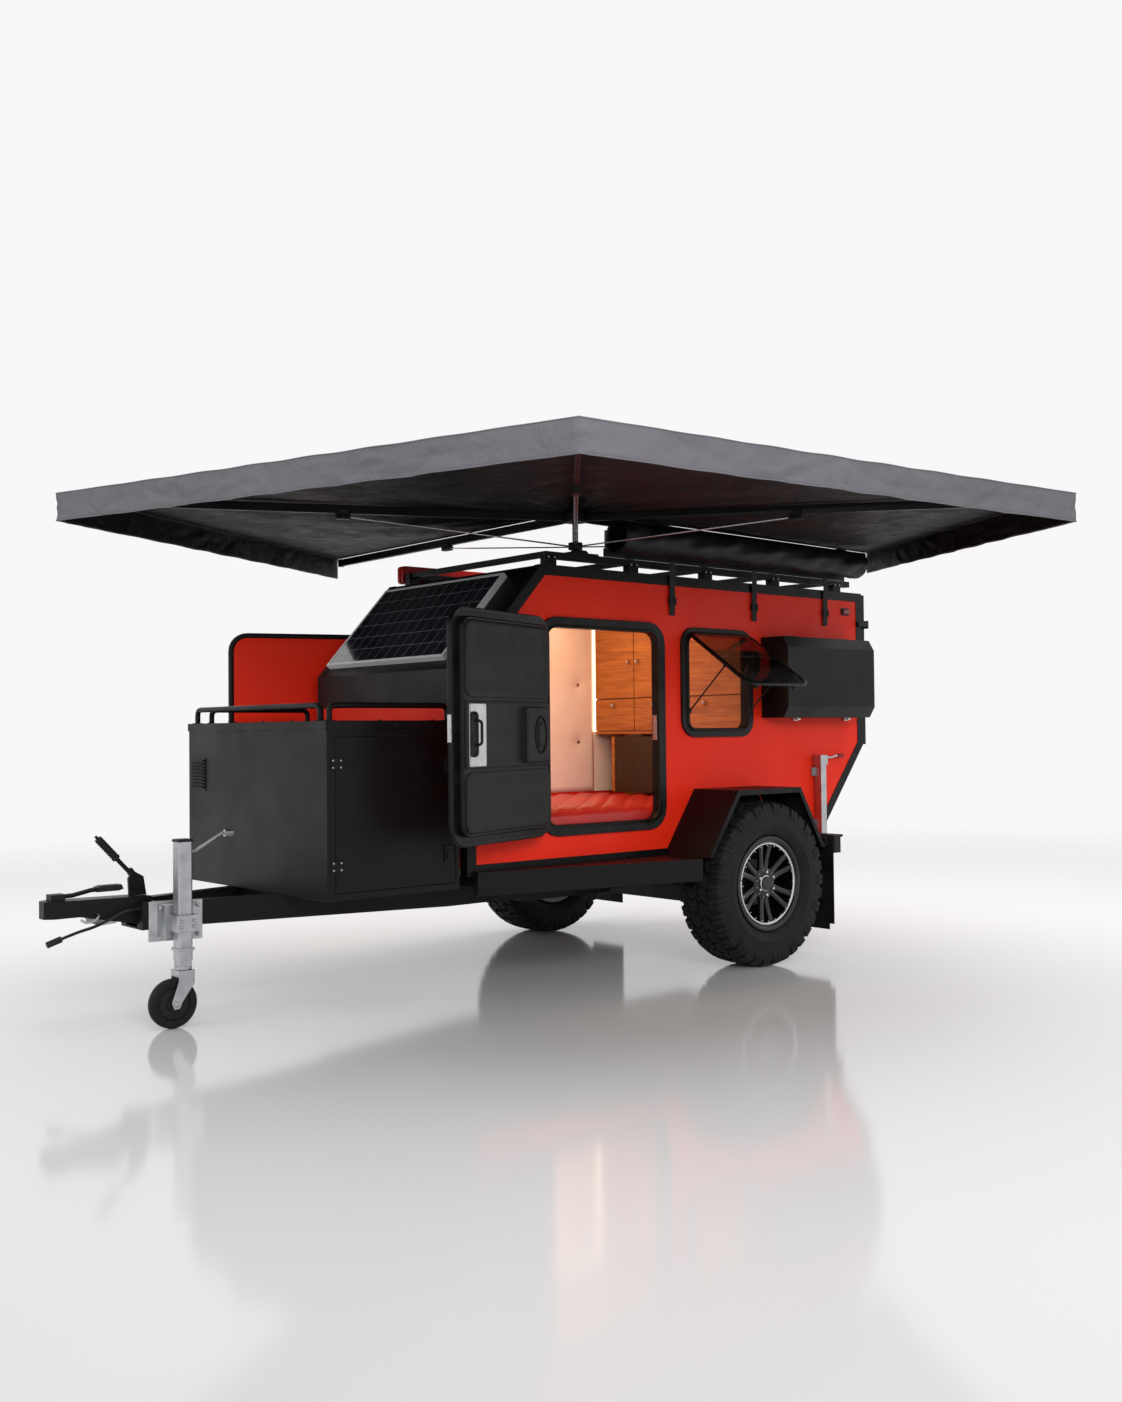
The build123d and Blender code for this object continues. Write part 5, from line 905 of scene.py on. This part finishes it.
# moulded nylon: saturated red with a coarse grain
red_nylon = moulded("red_nylon", "#b51a14", 0.45, grain=4, depth=0.25, tint=0.12)
boards = []
for y in (-565.3, -565.3 - 30.3):
    hollow = ((0, y - 6), (0, y - 24), (3, y - 27), (12, y - 27), (14, y - 22), (24, y - 22))
    boards.append(tray((20, 1120, 1926, 2018, 18), *hollow))
    boards.append(blocks(*[(x, x + 18, y - 29, y - 22, 1946, 1998) for x in 60 + 46 * np.arange(22)]))
piece("board_pair", join(*boards), red_nylon, replaces=["recovery_boards"], edge=1)


# Awning frame. Five black extruded arms fan out from one knuckle on a post at the rack's front corner. A pair
# of thin bright rods runs up to a black slider under each arm, and the back rail carries the bag.
dress("awning_hub", black_coat, 2)
dress("awning_arms", black_coat, 3)
dress("awning_rail", satin_aluminium, 1)
hub = np.array((870.0, 500.0, 2185.0))
# each arm's direction in degrees, its reach and its fall in mm
arm_table = np.array(((180, 2240, 20), (114, 2215, 95), (49, 2246, 65), (-20.5, 2295, 28), (-91.5, 2212, -5)))
arms = range(len(arm_table))
def along_arm(k, share, below=0.0):
    """A point of arm k at a share of its reach and a depth below the cloth's flat line."""
    angle, reach, fall = arm_table[k]
    a = radians(angle)
    return hub + np.array((share * reach * cos(a), share * reach * sin(a), -fall * share - below))

def rectangle(half_wide, half_high):
    """An outline with four corners round its middle."""
    return [(x * half_wide, y * half_high) for x, y in ((-1, -1), (1, -1), (1, 1), (-1, 1))]


pins = [carried(circle(7, 12), [(870, 500, 2040), (870, 500, 2126)], up=(1, 0, 0))]
rods, sliders, tips = [], [], []
for k in arms:
    a, reach = radians(arm_table[k, 0]), arm_table[k, 1]
    out, across = np.array((cos(a), sin(a), 0)), np.array((-sin(a), cos(a), 0))
    pins.append(domes([hub + 48 * out + (0, 0, -27)], (0, 0, 1), 9, 8, 6))
    slider, collar = along_arm(k, 0.48, 59), np.array((870, 500, 2022)) + 36 * out
    rods += [carried(circle(3, 8), [collar + across * s, slider + across * s]) for s in (-4.6, 4.6)]
    sliders.append(carried(rectangle(17, 12), [slider - out * 32, slider + out * 32]))
    for s in (-15, 15):
        cheek = slider + across * s + (0, 0, 14)
        sliders.append(carried(rectangle(2, 16), [cheek - out * 24, cheek + out * 24]))
    sliders.append(domes([slider + across * 17], across, 8, 4, 10))
    tips.append(carried(rectangle(13, 22), [along_arm(k, 1 - short / reach, 27) for short in (60, 24)]))
piece("awning_pins", join(*pins), chrome)
piece("awning_strut_rods", join(*rods), satin_aluminium, replaces=["awning_struts"])
piece("awning_sliders", join(*sliders), black_plastic, edge=2)
piece("arm_ends", join(*tips), black_plastic, edge=3)


# Awning cloth. One sheet of coated ripstop canvas in four gores from the hub to the arms, with a turned-down
# valance all round: it is pulled tight on the arms and sags and creases between them.
canvas = new_material("coated_ripstop_canvas")
# the underside is the same cloth in near black: painted shade under the canopy
painted_shade_canvas = new_material("canvas_underside_painted_shade")
# woven polyester: mid grey on top, dull, with soft crumples and a faint grid of thicker yarns; the black below
# is painted shade, a near-black copy of the same cloth
for (material, tree), light, dark in ((canvas, "#6c6b70", "#57565b"), (painted_shade_canvas, "#0f0f10", "#0a0a0b")):
    place = add(tree, "TexCoord").outputs["Object"]
    parts = add(tree, "SeparateXYZ", {0: add(tree, "UVMap", uv_map="gore")}).outputs
    # ripstop squares of 8 mm, drawn at 16 mm so that they show
    squares = lattice(tree, parts, 8, 8, 0.9)
    crumples = add(tree, "TexNoise", {"Vector": place, "Scale": 9.0, "Detail": 7.0, "Roughness": 0.62,
                                      "Distortion": 0.8})
    stain = add(tree, "TexNoise", {"Vector": place, "Scale": 1.6, "Detail": 3.0})
    tone = add(tree, "Mix", {0: stain, 6: linear(light), 7: linear(dark)}, data_type="RGBA").outputs[2]
    rough = add(tree, "MapRange", {0: crumples, 1: 0.3, 2: 0.7, 3: 0.5, 4: 0.72})
    fold = add(tree, "Bump", {"Height": crumples, "Strength": 0.7, "Distance": 0.02})
    weave = add(tree, "Bump", {"Height": squares, "Strength": 0.2, "Distance": 0.0006, "Normal": fold})
    shader = add(tree, "BsdfPrincipled", {"Base Color": tone, "Roughness": rough, "Normal": weave,
                                          "Specular IOR Level": 0.2})
    add(tree, "OutputMaterial", {0: shader})
canvas, painted_shade_canvas = canvas[0], painted_shade_canvas[0]
rows, columns, hem_rows, hem_drop, longest = 56, 110, 12, 116, 2240
share = np.linspace(0, 1, rows)
gores = []
for k in arms[:-1]:
    t = np.linspace(0, 1, columns + 1)[1 if k else 0:]
    one, two = along_arm(k, 1), along_arm(k + 1, 1)
    grid = hub + share[:, None, None] * (one + t[:, None] * (two - one) - hub)
    between = np.sin(pi * t)[None]
    # sag between the arms grows towards the hem; gathers fan out from the hub and die away
    sag = 95 * between * (share * (1 - share) ** 0.8)[:, None]
    down_gore = share[:, None]
    gather = 7 * np.sin(13 * pi * t) * np.exp(-((down_gore - 0.16) / 0.2) ** 2) * (0.4 + 0.6 * between)
    slack = 8 * np.sin(5 * pi * t + 4 * pi * down_gore + k * 1.7) * between * down_gore * (1 - down_gore) * 4
    tension = 1.6 * np.cos(18 * pi * t) * down_gore ** 6 * between
    grid[..., 2] += -sag + gather + slack + tension
    # the hem runs in a shallow curve between two arm tips
    middle = (one + two) / 2 - hub
    inward = -middle / np.linalg.norm(middle)
    grid[..., :2] += ((7 * between * share[:, None] ** 3)[..., None] * inward)[..., :2]
    gores.append(grid)
fan = np.concatenate(gores, axis=1)
drop = np.linspace(0, 1, hem_rows + 1)[1:, None, None]
rim_line = fan[-1].copy()
# the hem's length counted in waves, 34 to a gore, and how far each place is from its nearest arm
waves = 34
flow = np.arange(len(rim_line)) * waves / columns
to_arm = np.min(np.abs(flow[:, None] - waves * np.arange(5.0)[None]), axis=1)
outward = rim_line - hub
outward[:, 2] = 0
outward /= np.linalg.norm(outward, axis=1)[:, None]
ripple = 4 * np.sin(flow * 0.9) * np.exp(-(to_arm / (0.45 * waves / 2)) ** 2) + 2 * np.sin(flow * 0.37 + 1.3)
hem = rim_line[None] - drop * np.array((0, 0, hem_drop)) + (drop * ripple[None, :, None]) * outward[None]
def creases(u, v, count, length, width, height, spread, seed):
    """Sharp short folds laid at random: each is a Gaussian across its own line, which fades out along it."""
    rng = np.random.default_rng(seed)
    out = np.zeros_like(u)
    for u0, v0, way, size in zip(rng.uniform(u.min(), u.max(), count), rng.uniform(v.min(), v.max(), count),
                                 rng.normal(0, spread, count), rng.uniform(0.5, 1.0, count)):
        along = (u - u0) * cos(way) + (v - v0) * sin(way)
        away = (v - v0) * cos(way) - (u - u0) * sin(way)
        fold = np.exp(-(along / (length * size)) ** 2 - (away / width) ** 2)
        out += height * size * rng.choice((-1, 1)) * fold
    return out


flat_u = np.cumsum(np.concatenate(([0], np.linalg.norm(np.diff(rim_line, axis=0), axis=1))))
hem_u, hem_v = np.meshgrid(flat_u, drop[:, 0, 0] * hem_drop)
puckers = creases(hem_u, hem_v, 210, 120, 13, 6.5, 0.75, 3) * np.minimum(1, 4 * drop[:, 0])
hem += puckers[..., None] * outward[None]
fan_u, fan_v = np.meshgrid(flat_u, share * longest)
# the gores' folds run out from the hub, and die away before the hem and where the cloth lies on an arm
held = np.clip(to_arm / 3, 0, 1) * (np.sin(pi * share) ** 0.7)[:, None]
fan[..., 2] += creases(fan_u, fan_v, 90, 420, 38, 5.6, 0.35, 11) * held
fan[..., 2] += creases(fan_v, fan_u * share[:, None], 110, 360, 22, 5, 0.2, 12) * held
# a thin sleeve of the underside's near-black cloth, which is painted shade, is sewn along each edge arm
sleeves = []
for k, off in ((0, (0, -14, 0)), (4, (-14, 0, 0))):
    sleeve_line = np.array([along_arm(k, s, 22) for s in np.linspace(0.05, 0.995, 24)]) + off
    sleeves.append(carried([(-1.2, -23), (1.2, -23), (1.2, 21), (-1.2, 21)], sleeve_line))
piece("awning_edge_sleeves", join(*sleeves), painted_shade_canvas)
hem_tape = carried(rectangle(2.2, 3), hem[-1] + (0, 0, 2))
rim_cord = carried(circle(2.4, 6), rim_line - (0, 0, 1.5))
piece("awning_hem_tape", join(hem_tape, rim_cord), canvas, smooth=80)
canopy = piece("awning_cloth", skin(np.concatenate((fan, hem))), canvas,
               replaces=["awning_canopy"], smooth=80)
# the cloth's inner face takes the near-black copy of the canvas: painted shade under the canopy
canopy.data.materials.append(painted_shade_canvas)
if np.mean([p.normal.z for p in canopy.data.polygons]) < 0:
    canopy.data.flip_normals()
flat_v = np.concatenate((share * longest, longest + drop[:, 0, 0] * hem_drop))
lay_out(canopy, "gore", np.stack(np.meshgrid(flat_u, flat_v), -1).reshape(-1, 2))
thick = canopy.modifiers.new("cloth thickness", "SOLIDIFY")
thick.thickness, thick.offset, thick.material_offset = 0.0016, -1, 1


# Awning bag and straps. The empty travel bag is a sleeve of PVC cloth on the back rail, open along its top
# and a little collapsed; three woven straps with ladder buckles hang from it over the wall. The polypropylene
# of the straps is dull black, with slanting ribs that catch a little light.
webbing, tree = new_material("polypropylene_webbing")
place = add(tree, "TexCoord").outputs["Object"]
ribs = add(tree, "TexWave", {"Vector": place, "Scale": 90.0, "Distortion": 0.4}, bands_direction="DIAGONAL")
tone = add(tree, "Mix", {0: ribs, 6: linear("#0f0f10"), 7: linear("#1c1c1e")}, data_type="RGBA").outputs[2]
bump = add(tree, "Bump", {"Height": ribs, "Strength": 0.5, "Distance": 0.0008})
shader = add(tree, "BsdfPrincipled", {"Base Color": tone, "Roughness": 0.75, "Normal": bump})
add(tree, "OutputMaterial", {0: shader})
# PVC on a woven cloth: black, with a low sheen over the weave's grain
bag_cloth = moulded("pvc_coated_polyester", "#101011", 0.44, grain=3, depth=0.25, tint=0.1)
bag_rear, bag_front = -1078, 748
xx, aa = np.meshgrid(np.linspace(bag_rear, bag_front, 74), np.radians(np.linspace(128, 412, 30)),
                     indexing="ij")
# radius: a circle of 77 mm, crumpled by two slanting sines and flattened on both sides
crumple = 4 * np.sin(xx / 61 + 3 * np.sin(aa * 2)) + 3 * np.sin(xx / 27 + aa * 3)
rr = 77 + crumple * 0.8 - 4 * np.cos(aa) ** 2
bag_grid = np.stack((xx, 650 + rr * np.cos(aa), 2062 + rr * np.sin(aa) * 0.98), -1)
bag = piece("awning_bag_sleeve", skin(bag_grid), bag_cloth, replaces=["awning_bag"], smooth=80)
wall = bag.modifiers.new("cloth thickness", "SOLIDIFY")
wall.thickness, wall.offset = 0.003, 0
# a strip of the bag's black cloth below the rail stands for the bag's mounting base, and fills the gap between
# bag and rack with painted shade
piece("awning_bag_skirt_and_shade", blocks((bag_rear, bag_front, 560, 563, 1977, 2016)), bag_cloth)
piece("awning_bag_end", carried(circle(62, 28), [(-1076, 650, 2056), (-1066, 650, 2056)]), black_plastic,
      edge=3)
strap_line = np.array(((626, 1974), (626, 1950), (624, 1906), (623, 1864), (621.5, 1780), (620.5, 1712)))
straps, buckles = [], []
for x in (350, -251, -831):
    path = bend(np.insert(strap_line, 0, x, axis=1), 9, 4)
    path[:, 1] += 1.2 * np.sin(path[:, 2] / 21 + x)
    straps.append(carried(rectangle(18, 1.1), path, up=outwards))
    buckles += [(x - 23, x + 23, 617, 628, z, z + 6) for z in (1764, 1786, 1796)]
    buckles += [(x + dx, x + dx + 5, 617, 628, 1764, 1800) for dx in (-23, 18)]
piece("bag_strap_webbing", join(*straps), webbing, replaces=["bag_straps"])
piece("bag_buckles", blocks(*buckles), black_plastic, edge=1)


# Marker lamp and hatch catch. An acrylic lens on a moulded base and a turn catch, screwed to the left wall
# near its rear top corner.
lens = tray((-1040, -986, 1786, 1810, 8), (0, 612), (0, 622), (3, 626), (8, 627))
lamp_base = tray((-1048, -978, 1778, 1818, 6), (0, 611), (0, 615), (2, 616), (8, 616))
piece("marker_lamp", lens, red_lens)
piece("marker_lamp_base", lamp_base, black_plastic)
catch = blocks((-1190, -1112, 614, 632, 1722, 1748), (-1204, -1190, 600, 630, 1712, 1756))
piece("hatch_catch", catch, black_plastic, edge=2)


# Studio. A white lacquered floor that mirrors the trailer softly, and large soft lamps over a pale surround.
floor_mesh = bpy.data.meshes.new("studio_floor")
floor_level, floor_half = -0.4705, 60
floor_mesh.from_pydata([(*corner, floor_level) for corner in rectangle(floor_half, floor_half)], [],
                       [(0, 1, 2, 3)])
floor = bpy.data.objects.new("studio_floor", floor_mesh)
scene.collection.objects.link(floor)
# lacquer on a flat board: near white, with a blurred mirror image in it
white, tree = new_material("white_lacquer_floor")
place = add(tree, "TexCoord").outputs["Object"]
# painted light: the floor's colour lightens with the distance along the camera's view, as the light falls
# brighter towards the back; the floor ends with the distance from the trailer's middle
far = add(tree, "VectorMath", {0: place, 1: (-0.652, -0.758, 0)}, operation="DOT_PRODUCT").outputs["Value"]
painted_light_share = add(tree, "MapRange", {0: far, 1: -3.2, 2: 3.0, 3: 0.0, 4: 1.0})
painted_light_floor = add(tree, "Mix", {0: painted_light_share, 6: linear("#aeacad"), 7: linear("#dedddd")},
            data_type="RGBA").outputs[2]
shader = add(tree, "BsdfPrincipled", {"Base Color": painted_light_floor, "Roughness": 0.1, "IOR": 1.42})
away = add(tree, "VectorMath", {0: place, 1: (-2.7, 0.3, -0.47)}, operation="DISTANCE").outputs["Value"]
fade = add(tree, "MapRange", {0: away, 1: 5.0, 2: 11.0, 3: 0.0, 4: 1.0}, interpolation_type="SMOOTHSTEP")
clear = add(tree, "BsdfTransparent")
ended = add(tree, "MixShader", {0: fade, 1: shader, 2: clear})
add(tree, "OutputMaterial", {0: ended})
floor_mesh.materials.append(white)
world = bpy.data.worlds.new("pale_surround")
scene.world = world
world.use_nodes = True
tree = world.node_tree
tree.nodes.clear()
path = add(tree, "LightPath").outputs
seen = add(tree, "Math", {0: path["Is Camera Ray"], 1: path["Is Glossy Ray"]}, operation="MAXIMUM")
seen = add(tree, "Math", {0: seen, 1: path["Is Transmission Ray"]}, operation="MAXIMUM")
shown = add(tree, "Background", {0: linear("#f9f7f8"), 1: 1.0})
soft = add(tree, "Background", {0: linear("#ffffff"), 1: 0.62})
both = add(tree, "MixShader", {0: seen, 1: soft, 2: shown})
add(tree, "OutputWorld", {0: both})
def soft_lamp(name, where, at, size, watts, colour="#ffffff"):
    """A large area lamp that looks at a point; places in metres in the row frame."""
    lamp = bpy.data.lights.new(name, "AREA")
    lamp.shape, lamp.size, lamp.size_y, lamp.energy = "RECTANGLE", size[0], size[1], watts
    lamp.color = linear(colour)[:3]
    thing = bpy.data.objects.new(name, lamp)
    way = np.array(where, float) - np.array(at, float)
    way /= np.linalg.norm(way)
    side = np.cross((0, 0, 1), way)
    side = side / np.linalg.norm(side) if np.linalg.norm(side) > 1e-6 else np.array((1.0, 0, 0))
    turn = np.eye(4)
    turn[:3, 0], turn[:3, 1], turn[:3, 2], turn[:3, 3] = side, np.cross(way, side), way, where
    thing.matrix_world = Matrix(turn.tolist())
    scene.collection.objects.link(thing)
    thing.visible_camera = thing.visible_glossy = False
    return thing


soft_lamp("overhead_softbox", (-2.6, 1.0, 6.2), (-2.8, 0.3, 0.0), (8, 6), 520)
soft_lamp("left_softbox", (1.5, 7.5, 3.2), (-2.6, 0.6, 0.6), (4, 3), 400)
soft_lamp("front_softbox", (5.5, -0.5, 3.0), (-1.5, 0.3, 0.4), (3, 3), 90)
soft_lamp("cabin_lamp", (-2.6, -0.1, 1.38), (-2.6, -0.1, 0.3), (1.1, 0.7), 9, "#ffdcb8")
soft_lamp("cupboard_lamp", (-2.2, 0.1, 1.2), (-3.4, -0.1, 0.9), (0.5, 0.5), 3, "#ffd9b0")
